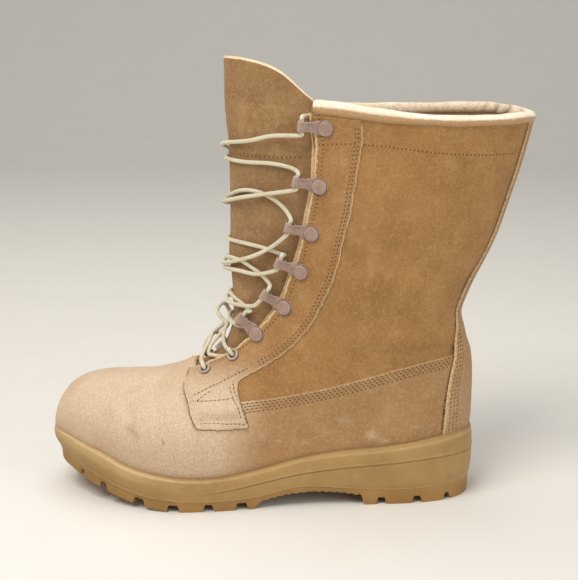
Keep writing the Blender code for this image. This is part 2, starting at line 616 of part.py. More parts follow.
def make_collar():
    """A padded roll that rides on the shaft's top edge, open at the throat."""
    path, outward = [], []
    for side in (1, -1):
        rows = np.array([SHAFT_TOP_ROW])
        throat = throat_angle(rows, side)
        angles = throat + (math.pi - throat) * np.linspace(0, 1, QUARTER_COLUMNS + 1)
        top = shaft_top_row(angles, side)
        place, normal = form_place(top, side * angles), form_normal(top, side * angles)
        order = slice(None) if side > 0 else slice(-2, None, -1)
        path.append(place[order])
        outward.append(normal[order])
    path, outward = np.concatenate(path), np.concatenate(outward)
    rim_top = np.maximum(path[:, 2], path[:, 2] - outward[:, 2] * WALL)
    outward[:, 2] = 0.0
    outward /= np.linalg.norm(outward, axis=1, keepdims=True)
    scale = np.ones(len(path))
    scale[[0, -1]] = COLLAR_END_SCALE
    turn = (np.arange(COLLAR_SIDES) + 0.5) * 2 * math.pi / COLLAR_SIDES
    across = np.cos(turn) * COLLAR_WIDE / 2 / math.cos(math.pi / COLLAR_SIDES)
    upward = np.sin(turn) * COLLAR_HIGH / 2 / math.cos(math.pi / COLLAR_SIDES)
    centre = path - outward * (WALL / 2 + COLLAR_INWARD)
    centre[:, 2] = rim_top + COLLAR_HIGH / 2 + COLLAR_LIFT
    rings = centre[:, None, :] + (outward[:, None, :] * across[:, None] * scale[:, None, None])
    rings[:, :, 2] += upward * scale[:, None]
    form = bmesh.new()
    verts = add_grid(form, rings, closed=True)
    form.faces.new(verts[0])
    form.faces.new(verts[-1])
    return add_object("collar", finish_mesh(form, "collar", 60), collar_leather)


def tongue_place(row, across):
    """Outer skin of the tongue; across is 0 on the fold, 1 at the throat, 2 at the flap's edge."""
    row, across = np.broadcast_arrays(np.asarray(row, float), np.asarray(across, float))
    s = station(row)
    side = np.where(across < 0, -1.0, 1.0)
    reach = np.abs(across)
    edge_angle = np.where(across < 0, throat_angle(row, -1), throat_angle(row, 1))
    angle = np.where(reach <= 1, edge_angle * reach, edge_angle + TONGUE_FLAP * (reach - 1))
    tuck = TONGUE_TUCK * np.clip((row - 26.5) / 3.0, 0, 1) + TONGUE_SINK * np.clip(13.0 - row, 0, 1)
    inset = -(WALL + TONGUE_GAP + tuck)
    hugging = offset_place(row, side * angle, inset)
    edge = offset_place(row, side * edge_angle, inset)
    run = np.stack([s["front_x"] - s["back_x"], s["front_z"] - s["back_z"]], axis=-1)
    run = run / np.linalg.norm(run, axis=-1, keepdims=True)
    front = np.stack([s["front_x"], s["front_z"]], axis=-1) + run * s["tongue"][..., None]
    turn = np.clip(reach, 0, 1) * math.pi / 2
    radius = (np.cos(turn) ** TONGUE_POWER + np.sin(turn) ** TONGUE_POWER) ** (-1 / TONGUE_POWER)
    ahead, sideways = np.cos(turn) * radius, np.sin(turn) * radius
    bulging = np.empty_like(hugging)
    bulging[..., 0] = edge[..., 0] + (front[..., 0] * MM - edge[..., 0]) * ahead
    bulging[..., 2] = edge[..., 2] + (front[..., 1] * MM - edge[..., 2]) * ahead
    centre = s["centre"] * MM
    bulging[..., 1] = centre + (edge[..., 1] - centre) * sideways
    bulge = np.clip((row - 12.0) / 3.0, 0, 1)
    bulge = bulge * bulge * (3 - 2 * bulge) * (reach <= 1)
    return hugging + (bulging - hugging) * bulge[..., None]


def tongue_normal(row, across):
    step = GAUGE_STEP
    up_rows = tongue_place(row + step, across) - tongue_place(row - step, across)
    round_it = tongue_place(row, across + step) - tongue_place(row, across - step)
    normal = np.cross(round_it, up_rows)
    return normal / np.linalg.norm(normal, axis=-1, keepdims=True)


def make_tongue():
    rows = np.array(TONGUE_ROWS + [SHAFT_TOP_ROW])
    half = np.array(TONGUE_COLUMNS)
    across = np.concatenate([-half[:0:-1], half])
    table = np.repeat(rows[:, None], len(across), axis=1)

    def below(row):
        place = tongue_place(row, across) / MM
        return place[..., 2] < lookup(TONGUE_TOP, np.abs(across))[0]

    top = bisect(below, np.full(len(across), 24.0), np.full(len(across), 32.0))
    table = table[0] + (table - table[0]) / (rows[-1] - rows[0]) * (top - table[0])
    form = bmesh.new()
    add_grid(form, tongue_place(table, across))
    tongue = add_object("tongue", finish_mesh(form, "tongue", 60), tongue_suede)
    add_solidify(tongue, TONGUE_WALL, outward=False)
    return tongue


# ------------------------------------------------------------ hooks, eyelets, lace

def place_frame(x, z, side, lift):
    """Frame on the eyestay: X towards the throat, Z outwards, Y along the throat edge."""
    row, angle = find_on_form(x, z, side)
    point = offset_place(row, angle, lift)
    normal = Vector(form_normal(row, angle))
    ahead = Vector(form_place(row, angle - side * GAUGE_STEP) - form_place(row, angle))
    ahead = (ahead - normal * ahead.dot(normal)).normalized()
    frame = Matrix((ahead, normal.cross(ahead), normal)).transposed().to_4x4()
    frame.translation = Vector(point)
    return frame


def seat_on(thing, frame, gap):
    """Lower a frame onto the face of thing under it, and turn it to that face."""
    shown = thing.evaluated_get(bpy.context.evaluated_depsgraph_get())
    above = frame.translation + frame.col[2].to_3d() * 5 * MM
    _, place, normal, _ = shown.ray_cast(above, -frame.col[2].to_3d())
    ahead = frame.col[0].to_3d()
    ahead = (ahead - normal * ahead.dot(normal)).normalized()
    seated = Matrix((ahead, normal.cross(ahead), normal)).transposed().to_4x4()
    seated.translation = place + normal * gap
    return seated


def make_hook_mesh():
    """A round base with an arm that folds back over itself to hold the lace."""
    outer, inner = HOOK_CHANNEL / 2 + HOOK_METAL, HOOK_CHANNEL / 2
    bend_x, bend_z = HOOK_ARM_REACH - outer, HOOK_ARM_RISE + outer
    arc = [math.pi * (k / HOOK_BEND_STEPS - 0.5) for k in range(HOOK_BEND_STEPS + 1)]
    outside = [(bend_x + outer * math.cos(a), bend_z + outer * math.sin(a)) for a in arc]
    inside = [(bend_x + inner * math.cos(a), bend_z + inner * math.sin(a)) for a in reversed(arc)]
    fold_x, fold_z = bend_x - HOOK_FOLD, bend_z + outer
    outline = [(0.0, 0.0), (HOOK_DISC_RADIUS, 0.0)] + outside
    outline += [(fold_x, fold_z), (fold_x, fold_z - HOOK_METAL)] + inside
    outline += [(HOOK_DISC_RADIUS, HOOK_METAL), (0.0, HOOK_METAL)]
    arm = prism_mesh("hook_arm", outline, -HOOK_ARM_WIDTH / 2, HOOK_ARM_WIDTH / 2, "y")
    disc = disc_mesh("hook_disc", HOOK_DISC_RADIUS, HOOK_DISC_THICK, 8)
    body = add_object("hook_blank", arm)
    base = add_object("hook_base", disc)
    apply_boolean(body, base, "UNION")
    mesh = as_mesh(body)
    bpy.data.objects.remove(body)
    bpy.data.objects.remove(base)
    return mesh


def make_eyelet_mesh():
    """A flanged ring with a short barrel, turned from its profile."""
    barrel_end = -(OVERLAY + 0.7 * WALL + FIT_GAP + EYELET_SEAT_GAP)
    profile = [
        (EYELET_BARREL, barrel_end), (EYELET_BARREL, 0.0), (EYELET_RADIUS, 0.0),
        (EYELET_RADIUS - EYELET_ROUND, EYELET_FLANGE), (EYELET_HOLE, EYELET_FLANGE),
        (EYELET_HOLE, barrel_end),
    ]
    form = bmesh.new()
    rim = [form.verts.new((radius, 0.0, height)) for radius, height in profile]
    edges = [form.edges.new((rim[i], rim[(i + 1) % len(rim)])) for i in range(len(rim))]
    bmesh.ops.spin(form, geom=rim + edges, cent=(0, 0, 0), axis=(0, 0, 1), angle=2 * math.pi,
                   steps=EYELET_STEPS)
    return finish_mesh(form, "eyelet")


def place_copies(mesh, names, frames, material):
    mesh.materials.clear()
    mesh.materials.append(material)
    for name, frame in zip(names, frames):
        copy = bpy.data.objects.new(name, mesh)
        parts.objects.link(copy)
        copy.matrix_world = frame


def nearest_across(row, side, point):
    """How far across the tongue, from its fold, lies nearest to a point."""
    across = side * np.linspace(0, 1, 60)
    distance = np.linalg.norm(tongue_place(np.full(60, row), across) - np.array(point), axis=1)
    return abs(float(across[np.argmin(distance)]))


def lace_points(start_side):
    """One zigzag of the lace, from the lowest eyelet to the top hook."""
    points = []
    side = start_side
    for level in range(len(level_places)):
        points.append(lace_turns[side][level])
        if level + 1 < len(level_places):
            row, reach = lace_rows[side][level], lace_reach[side][level]
            next_row, next_reach = lace_rows[-side][level + 1], lace_reach[-side][level + 1]
            for share in LACE_SHARES:
                across = side * (reach * (1 - share) - next_reach * share)
                at = row + (next_row - row) * share
                lift = LACE_DIAMETER / 2 + LACE_CLEARANCE
                place = tongue_place(at, across) + tongue_normal(at, across) * lift
                points.append(Vector(place))
        side = -side
    return points


def smooth_route(points, spacing):
    """Points at even spacing along a Catmull-Rom curve through the given points."""
    p = np.array([tuple(point) for point in points])
    padded = np.vstack([2 * p[0] - p[1], p, 2 * p[-1] - p[-2]])
    dense = []
    for i in range(1, len(padded) - 2):
        t = np.linspace(0, 1, 24, endpoint=False)[:, None]
        p0, p1, p2, p3 = padded[i - 1], padded[i], padded[i + 1], padded[i + 2]
        dense.append(0.5 * (2 * p1 + (p2 - p0) * t + (2 * p0 - 5 * p1 + 4 * p2 - p3) * t ** 2
                            + (3 * p1 - p0 - 3 * p2 + p3) * t ** 3))
    dense = np.vstack(dense + [p[-1:]])
    length = np.concatenate([[0], np.cumsum(np.linalg.norm(np.diff(dense, axis=0), axis=1))])
    count = int(length[-1] / spacing)
    at = np.linspace(0, length[-1], count)
    return np.stack([np.interp(at, length, dense[:, k]) for k in range(3)], axis=1)


def cord_object(name, route, diameter, material):
    curve = bpy.data.curves.new(name, "CURVE")
    curve.dimensions = "3D"
    curve.bevel_depth = diameter / 2
    curve.bevel_resolution = 2
    curve.use_fill_caps = True
    spline = curve.splines.new("POLY")
    spline.points.add(len(route) - 1)
    for point, place in zip(spline.points, route):
        point.co = (*place, 1.0)
    cord = bpy.data.objects.new(name, curve)
    parts.objects.link(cord)
    mesh = as_mesh(cord)
    bpy.data.objects.remove(cord)
    form = bmesh.new()
    form.from_mesh(mesh)
    return add_object(name, finish_mesh(form, name, 60), material)


def make_lace():
    """Two zigzags that cross on the tongue's fold, joined into one solid."""
    spacing = LACE_DIAMETER * LACE_SPACING
    lace = cord_object("lace", smooth_route(lace_points(1), spacing), LACE_DIAMETER, lace_cord)
    other = cord_object("lace_other", smooth_route(lace_points(-1), spacing), LACE_DIAMETER, lace_cord)
    parts.objects.unlink(other)
    cutters.objects.link(other)
    apply_boolean(lace, other, "UNION")
    return lace


# ------------------------------------------------------------ sole

def level_curve(height_of, offset, count):
    """Plan outline of the form at a height given along x: lateral and medial points.

    Each side has count + 1 points from toe tip to heel tip, evenly spaced, moved
    out in plan by offset, which may vary with x.
    """
    halves = []
    rows = np.concatenate([np.linspace(0.03, 4, 160), np.linspace(4, 21, 240)[1:]])
    for side in (1, -1):
        def above(angle):
            place = form_place(rows, side * angle) / MM
            return place[..., 2] > height_of(place[..., 0])

        first, last = np.zeros_like(rows), np.full_like(rows, math.pi - 1e-4)
        found = above(first) & ~above(last)
        angle = bisect(above, first, last)
        halves.append(form_place(rows, side * angle)[found][:, :2])
    tip = 0.5 * (halves[0][0] + halves[1][0])
    heel = 0.5 * (halves[0][-1] + halves[1][-1])
    outline = []
    for side, half in zip((1, -1), halves):
        path = np.vstack([tip, half, heel])
        length = np.concatenate([[0], np.cumsum(np.linalg.norm(np.diff(path, axis=0), axis=1))])
        at = np.linspace(0, length[-1], count + 1)
        path = np.stack([np.interp(at, length, path[:, k]) for k in range(2)], axis=1)
        ends = np.vstack([path[1] * [1, 1], path, path[-2]])
        ends[0, 1], ends[-1, 1] = 2 * tip[1] - path[1, 1], 2 * heel[1] - path[-2, 1]
        tangent = ends[2:] - ends[:-2]
        normal = side * np.stack([-tangent[:, 1], tangent[:, 0]], axis=1) * -1
        normal /= np.linalg.norm(normal, axis=1, keepdims=True)
        outline.append((path, normal))
    return outline


def move_out(outline, offset_of):
    """Move a plan outline out; offset_of gives metres from x in mm."""
    return [path + normal * offset_of(path[:, 0] / MM)[:, None] for path, normal in outline]


def add_ladder_loft(form, levels):
    """Loft closed outlines given as (lateral, medial) point rows, and cap both ends."""
    loops = []
    for lateral, medial in levels:
        loops.append(np.vstack([lateral, medial[-2:0:-1]]))
    verts = add_grid(form, np.array(loops), closed=True)
    count = len(levels[0][0]) - 1
    for ring in (verts[0], verts[-1]):
        def medial_vert(i):
            return ring[0] if i == 0 else ring[count] if i == count else ring[2 * count - i]
        for i in range(count):
            corners = (ring[i], ring[i + 1], medial_vert(i + 1), medial_vert(i))
            form.faces.new(list(dict.fromkeys(corners)))


def with_height(points, height_mm):
    return np.column_stack([points, height_mm * MM])


def sole_line(name, x):
    return lookup(SOLE_LINES, x)[SOLE_LINE_COLUMNS.index(name) - 1]


def ground_height(x):
    return TOE_SPRING_RATE * np.clip(x - TOE_SPRING_START, 0, None) ** 1.5


def seat_height(x):
    rows = [(row[2], row[3]) for row in STATIONS[3:19]]
    rows += [(325.0, 35.0), (0.0, 41.0)]
    return lookup(rows, x)[0]


def tread_edge_out(x, more):
    """How far the tread's edge stands out from the form at the rand."""
    _, _, _, out_toe, out_side, _ = SIDE_WALL[0]
    toe = sole_line("toe_share", x)
    return PANEL_STEP + FIT_GAP + LIP + (out_side + (out_toe - out_side) * toe) * MM + more


def bed_loop(outline, drop):
    """The joint between midsole and tread, a short way in from the edge."""
    moved = move_out(outline, lambda x: tread_edge_out(x, -BED_INSET))
    return [with_height(half, sole_line("bed", half[:, 0] / MM) - drop / MM) for half in moved]


def side_wall_loops(outline):
    rand_out = PANEL_STEP + FIT_GAP + LIP
    loops = [bed_loop(outline, 0.0)]
    for start, end, share, out_toe, out_side, sink in SIDE_WALL:
        def out(x):
            toe, groove = sole_line("toe_share", x), sole_line("groove_share", x)
            return rand_out + (out_side + (out_toe - out_side) * toe - sink * groove) * MM
        level = []
        for (path, _), moved in zip(outline, move_out(outline, out)):
            x = path[:, 0] / MM
            low, high = sole_line(start, x), sole_line(end, x)
            level.append(with_height(moved, low + (high - low) * share))
        loops.append(level)
    return loops


def make_midsole(outline):
    form = bmesh.new()
    add_ladder_loft(form, side_wall_loops(outline))
    midsole = add_object("midsole", finish_mesh(form, "midsole", 35), sole_compound)
    cavity = bmesh.new()
    rows = np.array(VAMP_ROWS + [row for row in THROAT_ROWS if row < 20.5])
    for side in (1, -1):
        add_side(cavity, rows, side, FIT_GAP)
        add_ridge(cavity, rows, side, FIT_GAP)
        add_bottom(cavity, rows, side, FIT_GAP)
    bmesh.ops.remove_doubles(cavity, verts=cavity.verts, dist=0.00002)
    fill_holes(cavity)
    apply_boolean(midsole, add_cutter("cup_cavity", finish_mesh(cavity, "cup_cavity")))
    return midsole


def make_outsole(outline):
    loops = [bed_loop(outline, FIT_GAP)]
    for drop, more in OUTSOLE_EDGE:
        level = []
        for (path, _), moved in zip(outline, move_out(outline, lambda x: tread_edge_out(x, more * MM))):
            top = sole_line("tread", path[:, 0] / MM) - FIT_GAP / MM
            level.append(with_height(moved, top + (ground_height(moved[:, 0] / MM) - top) * drop))
        loops.append(level)
    form = bmesh.new()
    add_ladder_loft(form, loops)
    outsole = add_object("outsole", finish_mesh(form, "outsole", 35), tread_rubber)
    apply_boolean(outsole, add_cutter("tread_cuts", tread_cuts(loops[-1])))
    return outsole


def tread_cuts(bottom):
    """The waist, the gaps between the edge lugs and the channel down the middle."""
    form = bmesh.new()
    heel_x, heel_rise = HEEL_BREAST
    fore_x, fore_rise = FORE_EDGE
    waist = [(heel_x, -2.0), (heel_x + 1.5, heel_rise), (0.5 * (heel_x + WAIST_TOP[0]), 11.2), WAIST_TOP,
             (141.0, 10.4), FORE_BREAST, (fore_x, fore_rise), (fore_x + 1.0, -2.0)]
    pieces = [prism_mesh("waist", [(x * MM, z * MM) for x, z in waist], -90 * MM, 90 * MM, "y")]
    for x, width in LUG_GAPS:
        for points, side in zip(bottom, (1, -1)):
            nearest = int(np.argmin(np.abs(points[:, 0] / MM - x)))
            nearest = min(max(nearest, 1), len(points) - 2)
            run = points[nearest + 1] - points[nearest - 1]
            along = Vector((run[0], run[1], 0)).normalized()
            inward = Vector((along.y, -along.x, 0)) * side * -1
            at = Vector((x * MM, float(np.interp(-x * MM, -points[:, 0], points[:, 1])), 0))
            ground = float(ground_height(x))
            section = [(-width / 2 * MM, -3 * MM), (width / 2 * MM, -3 * MM),
                       (width * 0.32 * MM, LUG_DEPTH), (-width * 0.32 * MM, LUG_DEPTH)]
            gap = prism_mesh("gap", section, -7 * MM, GAP_REACH, "y")
            frame = Matrix((along, inward, (0, 0, 1))).transposed().to_4x4()
            frame.translation = at + Vector((0, 0, ground * MM))
            gap.transform(frame)
            pieces.append(gap)
    for start, end in ((13.0, 76.0), (170.0, 284.0)):
        at = np.linspace(start, end, 2 if end < 100 else 6)
        roof = [(x * MM, (float(ground_height(x)) + 4.5) * MM) for x in at]
        floor = [(x * MM, (float(ground_height(x)) - 3.0) * MM) for x in reversed(at)]
        pieces.append(prism_mesh("channel", roof + floor, -CENTRE_CHANNEL / 2, CENTRE_CHANNEL / 2, "y"))
    for mesh in pieces:
        form.from_mesh(mesh)
    bmesh.ops.recalc_face_normals(form, faces=form.faces)
    mesh = bpy.data.meshes.new("tread_cuts")
    form.to_mesh(mesh)
    form.free()
    return mesh


def make_insole():
    levels = []
    for rise, side_gap in INSOLE_LEVELS:
        def height(x, rise=rise):
            return seat_height(x) + rise
        outline = level_curve(height, 0.0, 22)
        moved = move_out(outline, lambda x: -side_gap * MM * (
            1 + INSOLE_HEEL_TRIM * np.clip((50.0 - x) / 20.0, 0, 1)))
        levels.append([with_height(points, height(points[:, 0] / MM)) for points in moved])
    form = bmesh.new()
    add_ladder_loft(form, levels)
    return add_object("insole", finish_mesh(form, "insole", 35), insole_cloth)


# ------------------------------------------------------------ build

clear_scene()
parts = new_collection("lace_up_boot")
cutters = new_collection("cutters")

suede = make_material("suede", (0.44, 0.29, 0.155), 0.95)
tongue_suede = make_material("tongue_suede", (0.36, 0.225, 0.115), 0.95)
collar_leather = make_material("collar_leather", (0.62, 0.48, 0.33), 0.85)
sole_compound = make_material("sole_compound", (0.42, 0.27, 0.12), 0.6)
tread_rubber = make_material("tread_rubber", (0.37, 0.22, 0.085), 0.65)
insole_cloth = make_material("insole_cloth", (0.25, 0.18, 0.11), 0.9)
painted_metal = make_material("painted_metal", (0.30, 0.19, 0.14), 0.5, 0.3)
lace_cord = make_material("lace_cord", (0.66, 0.55, 0.34), 0.8)

surface_lift = FIT_GAP + OVERLAY
hook_places = {1: HOOK_PLACES, -1: [(x, z - drop) for (x, z), drop in zip(HOOK_PLACES, MEDIAL_HOOK_DROP)]}
eyelet_frames = [place_frame(x, z, side, surface_lift + EYELET_SEAT_GAP)
                 for side in (1, -1) for x, z in EYELET_PLACES]
side_names = ("lateral", "medial")
hook_names = [f"hook_{name}_{k + 1}" for name in side_names for k in range(len(HOOK_PLACES))]
eyelet_names = [f"eyelet_{name}_{k + 1}" for name in side_names for k in range(len(EYELET_PLACES))]

rand_outline = level_curve(lambda x: sole_line("rand", x), 0.0, SOLE_POINTS // 2)
make_outsole(rand_outline)
make_midsole(rand_outline)
make_insole()
make_upper()
eyestays = {1: make_eyestay("eyestay_lateral", 1), -1: make_eyestay("eyestay_medial", -1)}
make_backstay()
make_collar()
make_tongue()
hook_frames = [seat_on(eyestays[side], place_frame(x, z, side, surface_lift), HOOK_SEAT_GAP)
               for side in (1, -1) for x, z in hook_places[side]]
place_copies(make_hook_mesh(), hook_names, hook_frames, painted_metal)
place_copies(make_eyelet_mesh(), eyelet_names, eyelet_frames, painted_metal)

# the lace's levels, from the lowest eyelet to the top hook: where it turns, just
# ahead of each eyelet and hook, and the tongue's row and share across there
lace_turns, lace_rows, lace_reach = {1: [], -1: []}, {1: [], -1: []}, {1: [], -1: []}
level_places = [("eyelet", k) for k in range(len(EYELET_PLACES) - 1, -1, -1)]
level_places += [("hook", k) for k in range(len(HOOK_PLACES) - 1, -1, -1)]
for turning_side, places in ((1, (EYELET_PLACES, hook_places[1])), (-1, (EYELET_PLACES, hook_places[-1]))):
    for kind, k in level_places:
        x, z = places[0][k] if kind == "eyelet" else places[1][k]
        reach = EYELET_RADIUS if kind == "eyelet" else HOOK_ARM_REACH
        frame = place_frame(x, z, turning_side, surface_lift)
        turn = frame @ Vector((reach + LACE_DIAMETER / 2 + LACE_CLEARANCE, 0, LACE_DIAMETER))
        row = find_on_form(x, z, turning_side)[0]
        lace_turns[turning_side].append(turn)
        lace_rows[turning_side].append(row)
        lace_reach[turning_side].append(nearest_across(row, turning_side, turn))
make_lace()

# put the middle of the bounding box's floor at the origin
bpy.context.view_layer.update()
graph = bpy.context.evaluated_depsgraph_get()
corners = []
for thing in parts.objects:
    shown = thing.evaluated_get(graph)
    corners += [thing.matrix_world @ Vector(corner) for corner in shown.bound_box]
corners = np.array([tuple(corner) for corner in corners])
middle = 0.5 * (corners.min(axis=0) + corners.max(axis=0))
root = bpy.data.objects.new("boot_root", None)
bpy.context.scene.collection.objects.link(root)
root.location = (-middle[0], -middle[1], -corners[:, 2].min())
for thing in list(parts.objects) + list(cutters.objects):
    thing.parent = root
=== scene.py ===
# Lace-up combat boot, left foot, in tan roughout leather on a moulded lug sole.
# Everything is worked out in millimetres from the heel's back (x), the middle of
# the foot (y, outer side positive) and the floor (z), then moved into the part's frame.
import math
import bmesh
import bpy
import numpy as np
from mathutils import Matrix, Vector
from mathutils.geometry import delaunay_2d_cdt


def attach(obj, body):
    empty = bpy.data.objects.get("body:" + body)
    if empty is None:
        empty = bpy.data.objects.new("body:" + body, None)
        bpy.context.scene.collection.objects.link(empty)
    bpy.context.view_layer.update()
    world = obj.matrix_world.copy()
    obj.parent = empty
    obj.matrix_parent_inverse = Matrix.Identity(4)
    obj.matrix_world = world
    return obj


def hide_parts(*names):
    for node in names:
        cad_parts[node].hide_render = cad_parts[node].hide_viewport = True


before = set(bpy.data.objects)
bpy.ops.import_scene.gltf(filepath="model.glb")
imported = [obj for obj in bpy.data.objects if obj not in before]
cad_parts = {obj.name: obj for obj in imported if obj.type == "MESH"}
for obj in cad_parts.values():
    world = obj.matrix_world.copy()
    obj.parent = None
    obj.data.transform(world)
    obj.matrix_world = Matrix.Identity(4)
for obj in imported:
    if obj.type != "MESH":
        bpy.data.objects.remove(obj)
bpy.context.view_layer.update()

boot = {
    "shift": (-140.414, -2.438, 0.0),   # heel back to the part's middle
    "wall": 2.4, "panelStep": 1.2, "overlay": 1.5, "gap": 0.3, "seatMargin": 12.0,
    "throatRow": 11.5, "shaftTopRow": 30.0, "levelRow": 24.0,
    "shaftRadius": 38.0,                # turns millimetres round the shaft into angle
    "holeDepth": 5.0,                   # how far from an eyelet its hole cuts
}
sides = ((1, "lateral"), (-1, "medial"))


# the last: each row is one plane section of the upper, a fan from toe to collar.
# front x, z; back x, z; middle y; half widths; where widest; two powers; throat; tongue
stations = np.array([
    (316.9, 48.0, 316.9, 47.9, -12.0, 0.2, 0.2, 0.45, 2.2, 2.2, 9.0, -3.5),
    (316.4, 55.5, 316.0, 42.0, -11.8, 10.5, 10.5, 0.45, 2.2, 2.2, 9.5, -3.5),
    (314.0, 64.0, 313.4, 37.0, -11.4, 17.5, 18.0, 0.44, 2.2, 2.5, 10.0, -3.5),
    (309.6, 72.0, 308.6, 32.5, -10.8, 23.0, 24.0, 0.43, 2.2, 3.0, 10.5, -3.5),
    (303.4, 78.6, 302.0, 29.0, -9.8, 28.0, 29.0, 0.42, 2.2, 3.8, 11.0, -3.5),
    (295.6, 83.4, 293.8, 26.0, -8.4, 33.2, 33.6, 0.41, 2.2, 4.4, 11.5, -3.5),
    (285.6, 87.0, 283.4, 23.4, -6.6, 37.8, 37.8, 0.40, 2.2, 4.8, 12.0, -3.5),
    (272.0, 89.4, 269.4, 20.5, -4.3, 42.6, 42.0, 0.39, 2.2, 5.0, 12.0, -3.5),
    (256.0, 90.6, 253.0, 18.0, -2.0, 47.0, 45.4, 0.38, 2.15, 5.0, 12.0, -3.5),
    (240.0, 92.2, 236.0, 16.2, 0.0, 50.0, 47.0, 0.37, 2.1, 5.0, 12.0, -3.5),
    (226.0, 95.6, 219.0, 15.4, 1.0, 51.5, 46.0, 0.36, 2.0, 5.0, 12.0, -3.5),
    (214.0, 99.6, 201.0, 15.2, 1.0, 51.0, 43.0, 0.35, 1.95, 5.0, 12.5, -3.3),
    (203.0, 104.8, 181.0, 16.4, 0.8, 49.0, 39.0, 0.34, 1.9, 5.0, 14.0, -3.0),
    (193.0, 111.6, 158.0, 19.2, 0.5, 45.5, 35.5, 0.33, 1.9, 5.0, 15.5, -2.0),
    (184.5, 119.6, 131.0, 22.6, 0.2, 42.0, 34.0, 0.33, 1.9, 5.0, 17.0, 0.5),
    (177.5, 129.4, 101.0, 26.4, 0.0, 39.5, 34.5, 0.34, 1.95, 5.0, 18.5, 4.0),
    (171.5, 141.0, 69.0, 29.4, 0.0, 38.0, 36.0, 0.36, 2.0, 5.0, 20.0, 11.9),
    (166.0, 153.5, 39.0, 31.6, 0.0, 37.0, 36.5, 0.40, 2.05, 4.4, 21.5, 19.5),
    (161.0, 166.5, 14.5, 36.5, 0.0, 36.5, 36.5, 0.44, 2.1, 3.2, 22.8, 27.5),
    (157.0, 179.5, 3.4, 52.0, 0.0, 36.5, 36.5, 0.47, 2.15, 2.6, 24.0, 31.0),
    (153.5, 192.0, 1.4, 77.0, 0.0, 36.5, 36.5, 0.49, 2.2, 2.3, 25.0, 34.5),
    (151.0, 205.0, 2.4, 103.0, 0.0, 36.5, 36.5, 0.50, 2.25, 2.2, 25.8, 36.4),
    (149.3, 218.0, 6.6, 125.0, 0.0, 36.5, 36.5, 0.50, 2.3, 2.2, 26.5, 38.0),
    (148.0, 231.0, 10.0, 141.0, 0.0, 36.8, 36.8, 0.50, 2.35, 2.2, 27.2, 40.0),
    (147.0, 243.0, 5.2, 155.5, 0.0, 37.2, 37.2, 0.50, 2.4, 2.2, 27.8, 41.0),
    (146.3, 254.0, -3.2, 174.0, 0.0, 37.8, 37.8, 0.50, 2.45, 2.2, 28.3, 41.0),
    (145.8, 264.0, -13.0, 197.5, 0.0, 38.4, 38.4, 0.50, 2.5, 2.2, 28.8, 40.3),
    (145.4, 274.0, -21.0, 222.0, 0.0, 39.0, 39.0, 0.50, 2.5, 2.2, 29.2, 39.6),
    (145.2, 283.0, -28.5, 247.0, 0.0, 39.5, 39.5, 0.50, 2.5, 2.2, 29.6, 39.3),
    (145.0, 291.5, -34.0, 268.0, 0.0, 39.8, 39.8, 0.50, 2.5, 2.2, 29.9, 39.0),
    (145.0, 298.0, -37.5, 283.0, 0.0, 40.0, 40.0, 0.50, 2.5, 2.2, 30.1, 38.9),
    (145.0, 312.0, -41.0, 300.0, 0.0, 40.0, 40.0, 0.50, 2.5, 2.2, 30.1, 39.0),
    (145.0, 329.5, -44.0, 320.0, 0.0, 40.0, 40.0, 0.50, 2.5, 2.2, 30.1, 39.2),
])
stationNames = ("frontX", "frontZ", "backX", "backZ", "middle", "lateral", "medial", "widest",
                "frontPower", "backPower", "throat", "tongue")
panelSeam = np.array([
    (-20.0, 118.0), (0.0, 115.0), (17.0, 112.5), (42.0, 108.8), (57.0, 105.5), (75.0, 100.2),
    (93.5, 94.9), (111.5, 90.1), (130.0, 86.4), (148.0, 83.2), (172.7, 80.4), (230.0, 112.0)])
shaftTop = np.array([      # x, lateral z, medial z
    (-45.0, 281.5, 281.5), (-30.0, 283.5, 284.0), (-12.0, 283.0, 286.0), (20.0, 283.0, 285.0),
    (55.0, 284.5, 283.5), (80.0, 286.5, 282.0), (105.0, 289.5, 281.0), (125.0, 290.5, 281.0)])
throatSetBack = np.array([      # z, how far the visible edge lies behind the throat's own
    (170.0, 0.0), (205.0, 2.8), (225.0, 4.0), (245.0, 4.8), (270.0, 3.8), (290.0, 1.0)])


def lookUp(table, x, column=1):
    # straight lines between the rows of a table whose first column is x
    table = np.asarray(table)
    return np.interp(x, table[:, 0], table[:, column])


def topHeight(x, side):
    # height of the shaft's top edge
    return lookUp(shaftTop, x, 1 if side > 0 else 2)


def bell(value, centre, width):
    # 1 at the centre, falling with the exponential of minus the squared distance in widths
    return np.exp(-((value - centre) / width) ** 2)


def smoothStep(value, low, high):
    # 0 up to low, 1 from high, and between them three times t squared less twice t cubed
    t = np.clip((value - low) / (high - low), 0, 1)
    return t * t * (3 - 2 * t)


def rounded(away, reach):
    # quarter circle: 0 at an edge, 1 from a reach inside it
    return np.sqrt(np.clip(1 - (1 - np.clip(away / reach, 0, 1)) ** 2, 0, 1))


def squared(value, power):
    # a sine or cosine drawn out so that the circle it comes from turns squarer
    return np.sign(value) * np.abs(value) ** power


def catmullRom(p0, p1, p2, p3, t):
    # the cubic from p1 to p2 whose slopes there follow their neighbours
    return 0.5 * (2 * p1 + (p2 - p0) * t + (2 * p0 - 5 * p1 + 4 * p2 - p3) * t ** 2
                  + (3 * p1 - p0 - 3 * p2 + p3) * t ** 3)


def station(row):
    # the table of sections at fractional rows, by name
    last = len(stations) - 1
    row = np.clip(np.asarray(row, float), 0.0, last)
    i = np.minimum(row.astype(int), last - 1)
    near = (stations[np.clip(i + k, 0, last)] for k in (-1, 0, 1, 2))
    values = catmullRom(*near, (row - i)[..., None])
    return {name: values[..., k] for k, name in enumerate(stationNames)}


